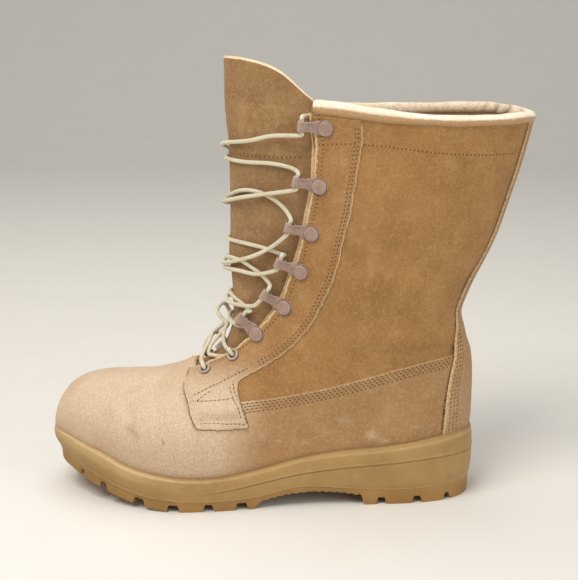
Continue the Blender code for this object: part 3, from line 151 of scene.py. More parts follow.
def lastPlace(row, angle):
    # superellipse in each section's plane: angle 0 at the front, + lateral, pi at the back
    row, angle = np.broadcast_arrays(np.asarray(row, float), np.asarray(angle, float))
    s = station(row)
    along, across = np.cos(angle), np.abs(np.sin(angle))
    power = np.where(along > 0, s["frontPower"], s["backPower"])
    radius = (np.abs(along) ** power + across ** power) ** (-1.0 / power)
    along, across = along * radius, across * radius
    share = s["widest"] + along * np.where(along > 0, 1 - s["widest"], s["widest"])
    width = np.where(angle >= 0, s["lateral"], s["medial"])
    x = s["backX"] + (s["frontX"] - s["backX"]) * share
    z = s["backZ"] + (s["frontZ"] - s["backZ"]) * share
    return np.stack([x, s["middle"] + np.sign(angle) * width * across, z], axis=-1)


def unit(vectors):
    # each vector at a length of one
    return vectors / np.maximum(np.linalg.norm(vectors, axis=-1, keepdims=True), 1e-9)


def lastNormal(row, angle):
    # outward normal: cross product of a small step round and a small step up the rows
    row = np.clip(np.asarray(row, float), 0.1, len(stations) - 1.1)
    upRows = lastPlace(row + 0.01, angle) - lastPlace(row - 0.01, angle)
    aroundIt = lastPlace(row, angle + 0.01) - lastPlace(row, angle - 0.01)
    return unit(np.cross(aroundIt, upRows))


# soft folds of the leather: x, z to x, z on one side (0 for both), height, width
folds = [
    (252, 66, 262, 80, 1, -0.9, 5.0), (246, 63, 256, 78, 1, 0.5, 4.5),
    (236, 78, 226, 50, 1, -0.7, 9.0), (225, 80, 214, 46, 1, 0.4, 8.0),
    (236, 78, 226, 50, -1, -0.8, 9.0), (222, 82, 212, 46, -1, 0.5, 8.0),
    (150, 118, 118, 100, 1, -0.5, 10.0), (66, 150, 30, 128, 1, -1.1, 11.0),
    (76, 170, 26, 150, 1, 0.9, 12.0), (84, 190, 10, 172, 1, -0.7, 13.0),
    (90, 226, 0, 214, 1, 0.6, 18.0), (66, 152, 30, 130, -1, -1.0, 11.0),
    (78, 172, 24, 152, -1, 0.8, 12.0), (86, 192, 8, 176, -1, -0.7, 14.0),
    (60, 62, 30, 70, 1, 0.4, 14.0), (120, 60, 90, 66, 1, -0.4, 13.0),
    (120, 60, 90, 66, -1, -0.4, 13.0), (60, 258, 0, 250, 0, -0.4, 16.0),
]


def foldHeight(place):
    # sum of soft ridges and troughs, each a bell across its line, plus a broad low wave
    x, y, z = place[..., 0], place[..., 1], place[..., 2]
    total = 0.28 * np.sin(x / 17.0 + 1.3 * np.sin(z / 29.0)) * np.sin(z / 21.0 + y / 40.0)
    for x0, z0, x1, z1, side, height, width in folds:
        runX, runZ = x1 - x0, z1 - z0
        t = np.clip(((x - x0) * runX + (z - z0) * runZ) / (runX ** 2 + runZ ** 2), 0, 1)
        away = (x - x0 - t * runX) ** 2 + (z - z0 - t * runZ) ** 2
        shown = np.clip(0.5 + side * y / 16.0, 0, 1) if side else 1.0
        total = total + 1.5 * height * shown * np.exp(-away / width ** 2)
    return total


def onLast(row, angle, distance):
    # point at a distance off the last, with the leather's folds
    place = lastPlace(row, angle)
    return place + lastNormal(row, angle) * (distance + foldHeight(place))[..., None]


def bisect(isLow, low, high, steps=26):
    # halve the span until it closes on the value where isLow turns false
    for _ in range(steps):
        middle = 0.5 * (low + high)
        inside = isLow(middle)
        low, high = np.where(inside, middle, low), np.where(inside, high, middle)
    return 0.5 * (low + high)


def angleAtHalfWidth(row, halfWidth, side, front=True):
    # the superellipse solved for the angle at which the last is so wide
    s = station(row)
    width = s["lateral"] if side > 0 else s["medial"]
    power = s["frontPower"] if front else s["backPower"]
    across = np.clip(halfWidth / np.maximum(width, 0.001), 0.0, 1.0)
    along = (1.0 - across ** power) ** (1.0 / power)
    return np.arctan2(across, along if front else -along)


def throatAngle(row, side):
    # where the last is as wide as the throat's opening
    return angleAtHalfWidth(row, station(row)["throat"], side)


def throatEdge(row, side):
    # the visible edge: the throat's own angle set back a few millimetres up the shaft
    angle = throatAngle(row, side)
    z = lastPlace(row, side * angle)[..., 2]
    return angle + lookUp(throatSetBack, z) / boot["shaftRadius"]


def seatAngle(row, side):
    # where the upper's turned-in margin ends under the foot
    s = station(row)
    opening = np.minimum(s["lateral"], s["medial"]) - boot["seatMargin"]
    openness = np.clip((row - 2.6) / 1.5, 0, 1) * np.clip((17.9 - row) / 1.2, 0, 1)
    half = np.maximum(opening * np.sqrt(openness), 0.0)
    return np.where(half > 0.5, angleAtHalfWidth(row, half, side, front=False), math.pi)


def seamAngle(row, side):
    # where the lower panel's top edge crosses a section; behind row 21 it runs out at the heel
    def above(angle):
        place = lastPlace(row, side * angle)
        return place[..., 2] > lookUp(panelSeam, place[..., 0])

    start = throatAngle(row, side)
    end = np.full_like(start, math.pi - 1e-4)
    angle = np.where(above(end), math.pi, bisect(above, start, end))
    merged = np.clip((row - 21.0) / (boot["levelRow"] - 21.0), 0, 1)
    angle = np.minimum(angle, 2.5 + (math.pi - 2.5) * merged)
    return np.where(above(start) & (row > boot["throatRow"] + 0.01), angle, start)


def shaftTopRow(angle, side):
    # row at which a line up the shaft reaches its top edge
    def below(row):
        place = lastPlace(row, side * angle)
        return place[..., 2] < topHeight(place[..., 0], side)

    return bisect(below, 24.0, 31.5)


def upToEdge(table, angles, side):
    # rows above the level one stretched so that the last meets the shaft's top edge
    level = boot["levelRow"]
    stretch = (shaftTopRow(angles[-1], side) - level) / (boot["shaftTopRow"] - level)
    return np.minimum(table, level) + np.clip(table - level, 0, None) * stretch


def findOnLast(x, z, side):
    # row and angle of the last's point at x, z in side view
    x, z = np.broadcast_arrays(np.asarray(x, float), np.asarray(z, float))

    def beyond(row):
        s = station(row)
        runX, runZ = s["frontX"] - s["backX"], s["frontZ"] - s["backZ"]
        return (x - s["backX"]) * runZ - (z - s["backZ"]) * runX < 0

    row = bisect(beyond, 1.0, len(stations) - 1.0)
    s = station(row)
    runX, runZ = s["frontX"] - s["backX"], s["frontZ"] - s["backZ"]
    share = ((x - s["backX"]) * runX + (z - s["backZ"]) * runZ) / (runX ** 2 + runZ ** 2)
    front = share > s["widest"]
    along = np.clip((share - s["widest"]) / np.where(front, 1 - s["widest"], s["widest"]), -1, 1)
    power = np.where(front, s["frontPower"], s["backPower"])
    return row, side * np.arctan2((1 - np.abs(along) ** power) ** (1 / power), along)


def backOfLast(y, z):
    # row and angle of the point at y, z on the back of the heel and shaft
    def angleAt(row):
        outer, inner = (angleAtHalfWidth(row, np.abs(y), side, front=False) for side in (1, -1))
        return np.where(y < 0, -inner, outer)

    row = bisect(lambda row: lastPlace(row, angleAt(row))[..., 2] < z, 16.5, 31.8)
    return row, angleAt(row)


def onBackstay(y, z, height):
    # place and normal at the back, higher where the lower panel lies beneath
    row, angle = backOfLast(y, z)
    under = boot["panelStep"] * (1 - smoothStep(z, 110.0, 122.0))
    return onLast(row, angle, height + under), lastNormal(row, angle)


def runLength(path):
    # distance along a polyline at each of its points
    return np.concatenate([[0], np.cumsum(np.linalg.norm(np.diff(path, axis=0), axis=1))])


def alongPath(path, spacing=None, count=None):
    # even points along a polyline
    path = np.asarray(path, float)
    length = runLength(path)
    count = count or max(int(round(length[-1] / spacing)) + 1, 2)
    at = np.linspace(0, length[-1], count)
    return np.stack([np.interp(at, length, column) for column in path.T], axis=1)


def smoothPath(points, per=14):
    # Catmull-Rom curve through the given points
    p = np.asarray(points, float)
    padded = np.vstack([2 * p[0] - p[1], p, 2 * p[-1] - p[-2]])
    near = (padded[k:len(padded) - 3 + k][:, None, :] for k in range(4))
    curve = catmullRom(*near, np.linspace(0, 1, per, endpoint=False)[None, :, None])
    return np.vstack([curve.reshape(-1, p.shape[1]), p[-1:]])


def gridFaces(rows, columns, closed=False, flip=False):
    # quads over a grid of points, joined round if closed
    index = np.arange(rows * columns).reshape(rows, columns)
    if closed:
        index = np.hstack([index, index[:, :1]])
    quads = np.stack([index[:-1, :-1], index[:-1, 1:], index[1:, 1:], index[1:, :-1]], axis=-1)
    return quads.reshape(-1, 4)[:, ::-1 if flip else 1]


def sheet(place, flip=False, closed=False, **fields):
    # a grid of points as one part: points, faces and named numbers for each point
    return place, gridFaces(*place.shape[:2], closed=closed, flip=flip), fields


def cap(ring, flip, **fields):
    # a ring of points closed by a fan round its middle
    count = len(ring)
    faces = np.array([(i, (i + 1) % count, count) for i in range(count)])
    return np.vstack([ring, ring.mean(axis=0)]), faces[:, ::-1 if flip else 1], fields


def joined(parts):
    # stack parts into one list of points, one of faces, and each field's values
    names = sorted({name for part in parts for name in part[2]})
    start, places, faces, values = 0, [], [], {name: [] for name in names}
    for points, quads, fields in parts:
        places.append(points.reshape(-1, 3))
        faces += (quads + start).tolist()
        for name in names:
            values[name].append(np.broadcast_to(fields.get(name, 0.0), points.shape[:-1]).ravel())
        start += len(places[-1])
    return np.vstack(places), faces, {name: np.concatenate(values[name]) for name in names}


def makePiece(name, parts, material, replaces=(), weld=True, wall=0.0, smoothAngle=60, holes=()):
    points, faces, values = joined(parts)
    mesh = bpy.data.meshes.new(name)
    mesh.from_pydata(((points + boot["shift"]) * 0.001).tolist(), [], faces)
    for key, value in values.items():
        field = mesh.attributes.new(key, "FLOAT", "POINT")
        field.data.foreach_set("value", value.astype(np.float32))
    form = bmesh.new()
    form.from_mesh(mesh)
    if weld:
        bmesh.ops.remove_doubles(form, verts=form.verts, dist=0.00002)
    for centre, axis, radius in holes:
        centre, axis = Vector((centre + boot["shift"]) * 0.001), Vector(axis)
        gone = [face for face in form.faces for off in [face.calc_center_median() - centre]
                if off.cross(axis).length < radius * 0.001 and abs(off.dot(axis)) < boot["holeDepth"] * 0.001]
        bmesh.ops.delete(form, geom=gone, context="FACES")
    form.to_mesh(mesh)
    form.free()
    mesh.validate()
    mesh.shade_smooth()
    if smoothAngle < 180:
        mesh.set_sharp_from_angle(angle=math.radians(smoothAngle))
    mesh.materials.append(material)
    piece = bpy.data.objects.new(name, mesh)
    bpy.context.scene.collection.objects.link(piece)
    if wall:
        thick = piece.modifiers.new("wall", "SOLIDIFY")
        thick.thickness, thick.offset, thick.use_even_offset = wall * 0.001, -1.0, False
    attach(piece, "root")
    if replaces:
        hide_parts(*replaces)
    return piece


def tint(colour):
    # display colour, 0 to 255, to the linear values that shaders use
    channels = np.array(colour) / 255.0
    linear = np.where(channels <= 0.04045, channels / 12.92, ((channels + 0.055) / 1.055) ** 2.4)
    return (*linear.tolist(), 1.0)


class Amount:
    # wraps a socket so that shader sums read as plain arithmetic
    def __init__(self, finish, socket):
        self.finish, self.socket = finish, socket

    def maths(self, operation, first, second=0.0):
        return self.finish.node("ShaderNodeMath", {"operation": operation}, {0: first, 1: second})

    def __add__(self, other):
        return self.maths("ADD", self, other)

    def __sub__(self, other):
        return self.maths("SUBTRACT", self, other)

    def __mul__(self, other):
        return self.maths("MULTIPLY", self, other)

    __radd__, __rmul__ = __add__, __mul__

    def sine(self):
        return self.maths("SINE", self)

    def most(self, other):
        return self.maths("MAXIMUM", self, other)

    def between(self, low, high):
        # soft step from 0 at low to 1 at high
        return self.finish.node("ShaderNodeMapRange", {"interpolation_type": "SMOOTHSTEP"},
                                {"Value": self, "From Min": low, "From Max": high})


class Finish:
    # one material: a Principled shader and the nodes that feed it
    def __init__(self, name, **fixed):
        self.material = bpy.data.materials.new(name)
        self.material.use_nodes = True
        self.tree = self.material.node_tree
        self.shader = self.tree.nodes["Principled BSDF"]
        for key, value in fixed.items():
            self.shader.inputs[key.replace("_", " ")].default_value = value
        self.place = self.node("ShaderNodeTexCoord", output="Object")

    def node(self, kind, settings=None, inputs=None, output=0):
        made = self.tree.nodes.new(kind)
        for key, value in (settings or {}).items():
            setattr(made, key, value)
        for key, value in (inputs or {}).items():
            if isinstance(value, Amount):
                self.tree.links.new(value.socket, made.inputs[key])
            else:
                made.inputs[key].default_value = value
        return Amount(self, made.outputs[output])

    def noise(self, size, detail=2.0, rough=0.5, stretch=None):
        # size is the grain in millimetres; stretch scales it along x, y and z
        place = self.place if stretch is None else self.node(
            "ShaderNodeMapping", None, {"Vector": self.place, "Scale": stretch})
        return self.node("ShaderNodeTexNoise", None, {
            "Vector": place, "Scale": 1000.0 / size, "Detail": detail, "Roughness": rough})

    def field(self, name):
        return self.node("ShaderNodeAttribute", {"attribute_name": name}, output="Fac")

    def mix(self, factor, *colours):
        # colours are shader values or display colours
        first, second = (c if isinstance(c, Amount) else tint(c) for c in colours)
        return self.node("ShaderNodeMix", {"data_type": "RGBA"},
                         {0: factor, 6: first, 7: second}, output=2)

    def coats(self, colour, *coats):
        # one colour laid over another in turn, each with how much of it shows
        for factor, coat in coats:
            colour = self.mix(factor, colour, coat)
        return colour

    def done(self, colour, roughness=None, height=None, depth=0.0):
        # join up colour, roughness and a bump of a depth in millimetres, where they are given
        bump = None if height is None else self.node("ShaderNodeBump", None, {
            "Height": height, "Distance": depth * 0.001, "Strength": 1.0})
        for socket, value in (("Base Color", colour), ("Roughness", roughness), ("Normal", bump)):
            if value is not None:
                self.tree.links.new(value.socket, self.shader.inputs[socket])
        return self.material


# the soil tone also paints shade in grooves, creases and beside laid-on pieces; the scuff tone also paints
# highlights
suedeTones = {
    "body": (160, 119, 72), "shade": (149, 109, 64), "pale": (182, 144, 98), "deep": (124, 88, 50),
    "rosy": (164, 118, 80), "dusty": (213, 190, 162), "dustyShade": (186, 161, 132),
    "brightNap": (244, 232, 212), "fleck": (244, 230, 212), "scuff": (214, 190, 158),
    "rawEdge": (226, 198, 154), "soil": (92, 66, 40),
}


def makeSuede(name, tones, napDepth=0.3):
    # napped leather: fine speckle over faint brushed patches, dust with some painted shade, pale scuffs with
    # some painted highlight, soil with painted shade, pale cut edges
    t = {**suedeTones, **tones}
    f = Finish(name, Roughness=0.95, Specular_IOR_Level=0.1, Sheen_Weight=0.1, Sheen_Roughness=0.6)
    grain, nap, fleck = f.noise(1.15, 3.0, 0.7), f.noise(3.0, 3.0, 0.6), f.noise(1.4, 2.0, 0.6)
    patch, hue = f.noise(38.0, 3.0, 0.5), f.noise(75.0, 2.0, 0.5, (1.0, 1.0, 0.6))
    brushed = f.noise(13.0, 4.0, 0.6, (1.0, 1.0, 0.7))
    pit, raw = f.noise(2.1, 1.0, 0.4), f.noise(1.7, 3.0, 0.7)
    powder = f.coats(
        f.mix(grain.between(0.22, 0.62), t["dustyShade"], t["dusty"]),
        (brushed.between(0.5, 0.75) * 0.3, t["dustyShade"]),
        (patch.between(0.4, 0.7) * 0.22, t["rosy"]),
        (nap.between(0.66, 0.8) * 0.6, t["brightNap"]),
        (fleck.between(0.52, 0.72) * 0.25, t["fleck"]),
        (fleck.between(0.48, 0.28) * 0.32, t["dustyShade"]))
    colour = f.coats(
        f.mix(patch.between(0.32, 0.68), t["shade"], t["body"]),
        (hue.between(0.42, 0.7) * 0.5, t["rosy"]),
        (brushed.between(0.5, 0.72) * 0.4, t["pale"]),
        (brushed.between(0.48, 0.3) * 0.3, t["deep"]),
        (nap.between(0.46, 0.72) * 0.38, t["pale"]),
        (grain.between(0.5, 0.72) * 0.5, t["pale"]),
        (grain.between(0.5, 0.28) * 0.5, t["deep"]),
        ((f.field("dust") * (0.8 + nap * 0.4)).between(0.0, 1.0), powder),
        ((f.field("scuff") * (0.4 + nap * 1.3)).between(0.1, 0.9), t["scuff"]),
        (pit.between(0.75, 0.8) * 0.45, t["soil"]),
        (f.field("soil") * (0.7 + nap * 0.5), t["soil"]),
        ((f.field("edge") * (0.2 + raw * 1.5)).between(0.25, 0.85), t["rawEdge"]))
    return f.done(colour, 0.88 + grain * 0.12, grain * 0.8 + nap * 0.7 + patch, napDepth)


def makePile(name, body, pale, deep, binding):
    # brushed pile that turns to plain leather on its underside, darker there partly as painted shade, with
    # painted shade where marked
    f = Finish(name, Roughness=0.95, Specular_IOR_Level=0.1, Sheen_Weight=0.25, Sheen_Roughness=0.5)
    grain, nap, patch = f.noise(0.9, 3.0, 0.7), f.noise(2.4, 3.0, 0.6), f.noise(20.0, 3.0, 0.5)
    colour = f.coats(
        f.mix(patch.between(0.35, 0.7), body, pale),
        (grain.between(0.48, 0.7) * 0.4, pale),
        (nap.between(0.5, 0.28) * 0.4, deep),
        ((f.field("under") + (nap - 0.5) * 0.7).between(0.2, 0.75), f.mix(grain, deep, binding)),
        (f.field("soil") * (0.6 + nap * 0.5), (96, 68, 42)))
    return f.done(colour, 0.88 + grain * 0.12, grain * 0.8 + nap * 1.2, 0.5)


def makeRubber(name, body, pale, deep, roughness):
    # moulded sole compound: faint pebble, broad tone, pale rubbed edges and painted highlights, soil and
    # painted shade in low places
    f = Finish(name, Roughness=roughness, Specular_IOR_Level=0.3)
    pebble, patch, smear = f.noise(0.8, 2.0, 0.6), f.noise(34.0, 3.0, 0.55), f.noise(7.0, 3.0, 0.6)
    colour = f.coats(
        f.mix(patch.between(0.3, 0.7), deep, body),
        (smear.between(0.5, 0.8) * 0.14, pale),
        (pebble.between(0.55, 0.75) * 0.12, pale),
        ((f.field("worn") * (0.6 + smear * 0.6)).between(0.0, 1.0), pale),
        (f.field("soil") * (0.6 + smear * 0.5), (88, 62, 34)))
    pucker = f.field("pleat") * f.noise(2.2, 2.0, 0.5, (1.0, 1.0, 0.25)) * 3.0
    return f.done(colour, roughness - 0.06 + smear * 0.12, pebble * 0.5 + smear * 0.5 + pucker, 0.14)


def makeMetal():
    # satin paint over pressed metal, rubbed at the edges, with painted shade in its grooves and hollows
    f = Finish("hookPaint", Metallic=0.1, Specular_IOR_Level=0.45)
    speck, patch = f.noise(0.5, 2.0, 0.6), f.noise(5.0, 3.0, 0.6)
    colour = f.coats(
        f.mix(patch.between(0.3, 0.7), (148, 121, 108), (165, 139, 126)),
        (speck.between(0.6, 0.75) * 0.2, (172, 145, 128)),
        (f.field("worn") * (0.25 + patch * 0.5), (206, 186, 168)),
        ((f.field("soil") * 1.1).between(0.0, 1.0), (66, 46, 36)))
    return f.done(colour, 0.40 + patch * 0.2, speck + patch, 0.05)


def makeLaceCord():
    # round braid: two families of strands that wind opposite ways round the cord, with painted shade between
    # the strands and painted highlight on their crowns
    f = Finish("laceBraid", Roughness=0.8, Specular_IOR_Level=0.25, Sheen_Weight=0.2, Sheen_Roughness=0.4)
    along, around = f.field("along"), f.field("around")
    strand = (along * 4.4 + around * 5.0).sine().most((along * 4.4 - around * 5.0).sine())
    fibre = (along * 23.0 + around * 9.0).sine() * 0.5 + 0.5
    colour = f.coats(
        f.mix(strand.between(0.05, 0.95), (212, 192, 148), (255, 248, 224)),
        (fibre * 0.2, (255, 250, 232)),
        (f.noise(9.0, 2.0, 0.5).between(0.5, 0.75) * 0.3, (220, 196, 146)))
    return f.done(colour, None, strand + fibre * 0.25, 0.3)


def makePlain(name, colour, roughness):
    # one colour, a little darker and lighter in fine grain
    f = Finish(name, Roughness=roughness)
    shade = f.noise(1.2, 2.0, 0.6)
    darker, lighter = (np.minimum(np.array(colour) * share, 255) for share in (0.85, 1.1))
    return f.done(f.mix(shade, darker, lighter), None, shade, 0.1)


suede = makeSuede("roughoutTan", {})
tongueSuede = makeSuede("tongueSuede", {
    "body": (149, 115, 76), "shade": (137, 103, 66), "pale": (178, 144, 104), "deep": (120, 88, 54),
    "rosy": (152, 112, 76), "rawEdge": (240, 220, 184)}, 0.25)
collarPile = makePile("collarPile", (243, 227, 202), (250, 240, 222), (188, 152, 110), (178, 140, 96))
liningSkin = makePile("liningLeather", (204, 176, 140), (222, 198, 166), (160, 128, 94), (190, 160, 122))
soleCompound = makeRubber("soleCompound", (168, 134, 84), (206, 178, 132), (156, 122, 74), 0.5)
treadRubber = makeRubber("treadRubber", (170, 130, 75), (199, 163, 110), (154, 116, 65), 0.6)
hookPaint = makeMetal()
laceBraid = makeLaceCord()
threadTan = makePlain("threadTan", (166, 130, 86), 0.8)
needleHoleShade = makePlain("needleHoleShade", (92, 60, 34), 0.95)
creviceShade = makePlain("creviceShade", (128, 92, 58), 0.95)
looseFibre = makePlain("looseFibre", (224, 196, 150), 0.9)
pileFibre = makePlain("pileFibre", (246, 232, 206), 0.9)
insoleCloth = makePlain("insoleCloth", (110, 84, 58), 0.95)
print("finishes ready")


fibres, pile = [], []


def fibreMesh(places, outward, along, reach, radius, random):
    # thin bent fibres: each leaves its place outward, leans at random and tapers to a point
    count = len(places)
    lean = along * random.normal(0, 0.8, (count, 1))
    lean = lean + np.cross(outward, along) * random.normal(0, 0.5, (count, 1))
    first = unit(outward + lean * 0.6)
    last = unit(outward * 0.3 + lean + random.normal(0, 0.35, (count, 3)))
    side = unit(np.cross(first, last) + 1e-6)
    other, length = np.cross(first, side), random.uniform(*reach, (count, 1))
    rings = []
    for share in (0.0, 0.5, 1.0):
        centre = places + (first * (share - share ** 2 / 2) + last * share ** 2 / 2) * length
        rings.append(np.stack([centre + (side * math.cos(turn) + other * math.sin(turn))
                               * radius * (1 - 0.85 * share) for turn in (0.0, 2.094, 4.189)], axis=1))
    faces = gridFaces(3, 3, closed=True)[None] + (np.arange(count) * 9)[:, None, None]
    return np.stack(rings, axis=1).reshape(-1, 3), faces.reshape(-1, 4), {}


def fineRows(first, last, spacing):
    # rows so close that no two neighbours are more than spacing apart anywhere
    rows = np.arange(first, last + 0.01, 0.02)
    grid = lastPlace(rows[:, None], np.linspace(0, math.pi, 9)[None, :])
    step = np.linalg.norm(np.diff(grid, axis=0), axis=2).max(axis=1)
    length = np.concatenate([[0], np.cumsum(step)])
    return np.interp(np.linspace(0, length[-1], int(length[-1] / spacing) + 2), length, rows)


upper = {
    "spacing": 1.9, "quarterColumns": 34, "panelColumns": 36, "ridgeColumns": 12,
    "rampAngle": 0.008, "edgeReach": 0.5, "seamRadius": 40.0,
    "cut": [(0.3, 0.55), (0.5, 0.95), (0.75, 1.08)],      # share across the panel's cut edge, share up
    # angle past the throat's edge, distance off the last and wear, round each turned edge
    "turned": [(0.24, -2.4, 0), (0.03, -2.4, 0.2), (0.004, -2.1, 1), (-0.006, -1.2, 1), (-0.003, -0.4, 1),
               (0.0, 0.0, 0.8)],
    "facing": [(0.16, -3.5, 0), (-0.03, -3.5, 0.3), (-0.045, -3.2, 0.8), (-0.048, -2.9, 1),
               (-0.04, -2.65, 0.8), (0.12, -2.5, 0)],
    # rows past the throat's foot, distance and wear, over the vamp's end
    "lip": [(0.0, 1.2, 0.2), (0.02, 1.05, 0.9), (0.035, 0.4, 1), (0.035, -1.2, 1), (0.02, -2.1, 0.6),
            (-0.05, -2.4, 0), (-0.6, -2.4, 0)],
}


def upperColumns(rows, side):
    # angles and heights across one side: quarter, the cut edge of the panel, then the panel
    rows = rows[:, None]
    throat, seam = throatEdge(rows, side), seamAngle(rows, side)
    end = np.maximum(seatAngle(rows, side), seam)
    quarterOpen = np.clip((seam - throat) / 0.05, 0, 1)
    panelOpen = np.clip((end - seam) / 0.12, 0, 1) * np.clip((21.7 - rows) / 0.7, 0, 1)
    ramp = upper["rampAngle"] * quarterOpen * panelOpen
    cut, cutHeight = np.array(upper["cut"]).T
    q, p = np.linspace(0, 1, upper["quarterColumns"]), np.linspace(0, 1, upper["panelColumns"]) ** 1.15
    angles = np.hstack([throat + (seam - ramp - throat) * q, seam - ramp + 2 * ramp * cut,
                        seam + ramp + (end - seam - ramp) * p])
    panel = np.concatenate([np.zeros(len(q)), cutHeight, np.ones(len(p))])
    raised = np.where(panel > 0, panel, 1 - quarterOpen) * panelOpen
    raised = np.where(quarterOpen < 1, np.maximum(raised, 1 - quarterOpen), raised)
    beyond = np.abs((angles - seam) * upper["seamRadius"] - 0.3)
    edge = 0.55 * np.exp(-beyond / upper["edgeReach"]) * (panel > 0) * quarterOpen * panelOpen
    if rows[-1] >= boot["shaftTopRow"] - 1e-6:
        rows = upToEdge(rows, angles, side)
    return rows, angles, raised * boot["panelStep"], edge, panel


# smudges and pale scuffs; the wide dark patches on the shaft are painted crease shade
marksAndCreaseShade = [      # x, z, reach along x, reach along z, darkness (less than 0: pale)
    (253.5, 61.5, 3.4, 2.0, 0.4), (250.0, 57.5, 3.0, 2.2, 0.3), (257.0, 68.5, 4.5, 3.0, -0.45),
    (229.6, 54.0, 0.8, 0.8, 0.5), (222.0, 44.0, 0.7, 0.6, 0.4), (262.0, 84.0, 6.0, 3.0, -0.3),
    (157.5, 56.5, 5.0, 2.2, -0.42), (153.0, 60.7, 4.0, 2.0, -0.36), (142.5, 59.0, 3.6, 2.2, -0.38),
    (146.0, 52.3, 4.0, 2.2, -0.34), (128.0, 50.0, 4.0, 3.0, -0.3), (96.5, 66.5, 8.0, 5.0, -0.3),
    (76.5, 55.0, 8.0, 5.0, -0.42), (66.0, 49.5, 5.0, 3.0, -0.4), (45.0, 60.0, 9.0, 4.0, -0.3),
    (110.0, 57.0, 8.0, 6.0, -0.25), (60.0, 92.0, 8.0, 6.0, -0.2), (104.0, 180.0, 10.0, 26.0, -0.12),
    (30.0, 78.0, 10.0, 8.0, 0.07), (62.0, 121.0, 36.0, 4.5, 0.15), (24.0, 119.0, 14.0, 7.0, 0.16),
    (92.0, 150.0, 28.0, 6.0, 0.08), (18.0, 160.0, 9.0, 20.0, 0.12), (60.0, 236.0, 26.0, 14.0, 0.05)]


def lineDistance(points, path):
    # distance in side view from points to an open line
    best = np.full(points.shape[:-1], 1e9)
    for (x0, z0), (x1, z1) in zip(path[:-1], path[1:]):
        runX, runZ = x1 - x0, z1 - z0
        t = ((points[..., 0] - x0) * runX + (points[..., 2] - z0) * runZ) / (runX ** 2 + runZ ** 2)
        t = np.clip(t, 0, 1)
        best = np.minimum(best, np.hypot(points[..., 0] - x0 - t * runX, points[..., 2] - z0 - t * runZ))
    return best


def leatherFields(place, panel):
    # dust, scuffs and soil from where the leather lies, with painted shade and shadow as noted below
    x, y, z = place[..., 0], place[..., 1], place[..., 2]
    # dust towards the toe, thinning lower down as painted shade
    dust = panel * np.maximum(smoothStep(x, 134, 196) * (0.64 + 0.36 * smoothStep(z, 30, 86)), 0.2)
    # painted shade just above the rand, where the upper meets the sole
    soil = panel * 0.35 * np.exp(-np.clip(z - sideLine("rand", x), 0, None) / 2.2)
    scuff = np.zeros(x.shape)
    for markX, markZ, reachX, reachZ, dark in marksAndCreaseShade:
        shown = bell(x, markX, reachX) * bell(z, markZ, reachZ) * (y > 0)
        soil, scuff = soil + shown * max(dark, 0), scuff + shown * max(-dark, 0)
    # painted shadow along the tab's lower and front edges, where it stands off the vamp
    soil = soil + 0.75 * np.exp(-lineDistance(place, eyestay["tab"][9:17]) / 0.8)
    soil = soil + 0.35 * np.exp(-lineDistance(place, eyestay["tab"][7:11]) / 1.0)
    # painted shade in the grooves beside the backstay's edges
    soil = soil + 0.85 * bell(np.abs(np.abs(y) - backstayEdge(z) - 0.45), 0, 0.75) * (x < 40)
    return {"dust": dust, "soil": np.clip(soil, 0, 1), "scuff": np.clip(scuff, 0, 1)}


soleLines = np.array([     # x, tread, groove, rand, bed, toe share, groove share
    (-3.0, 14.4, 35.0, 52.6, 8.5, 0.0, 1.0), (12.0, 13.6, 36.2, 53.4, 8.5, 0.0, 1.0),
    (27.0, 12.2, 35.8, 51.4, 8.5, 0.0, 1.0), (66.0, 11.4, 32.6, 45.6, 8.5, 0.0, 1.0),
    (100.0, 13.7, 30.0, 42.8, 13.4, 0.0, 1.0), (130.0, 15.6, 26.6, 38.2, 15.2, 0.0, 1.0),
    (160.0, 9.6, 21.0, 30.8, 9.4, 0.0, 1.0), (185.0, 7.6, 16.2, 26.6, 7.5, 0.0, 0.7),
    (200.0, 7.6, 14.4, 25.7, 7.5, 0.0, 0.3), (229.0, 9.2, 13.4, 27.8, 8.0, 0.0, 0.0),
    (258.0, 13.6, 18.0, 33.3, 12.8, 0.15, 0.0), (274.0, 18.2, 23.0, 39.8, 17.0, 0.35, 0.0),
    (290.0, 23.4, 28.8, 44.6, 21.6, 0.6, 0.0), (307.0, 29.4, 35.4, 48.8, 26.4, 0.9, 0.0),
    (321.0, 33.4, 39.0, 49.6, 29.0, 1.0, 0.0)])
soleNames = ("tread", "groove", "rand", "bed", "toe", "grooveShare")


def sideLine(name, x):
    # a line along the sole's side, on a smooth curve through the table
    column = soleNames.index(name) + 1
    xs, ys = soleLines[:, 0], soleLines[:, column]
    slope = np.gradient(ys, xs)
    x = np.clip(x, xs[0], xs[-1])
    i = np.clip(np.searchsorted(xs, x) - 1, 0, len(xs) - 2)
    span = xs[i + 1] - xs[i]
    t = (x - xs[i]) / span
    return ((2 * t ** 3 - 3 * t ** 2 + 1) * ys[i] + (t ** 3 - 2 * t ** 2 + t) * span * slope[i]
            + (3 * t ** 2 - 2 * t ** 3) * ys[i + 1] + (t ** 3 - t ** 2) * span * slope[i + 1])


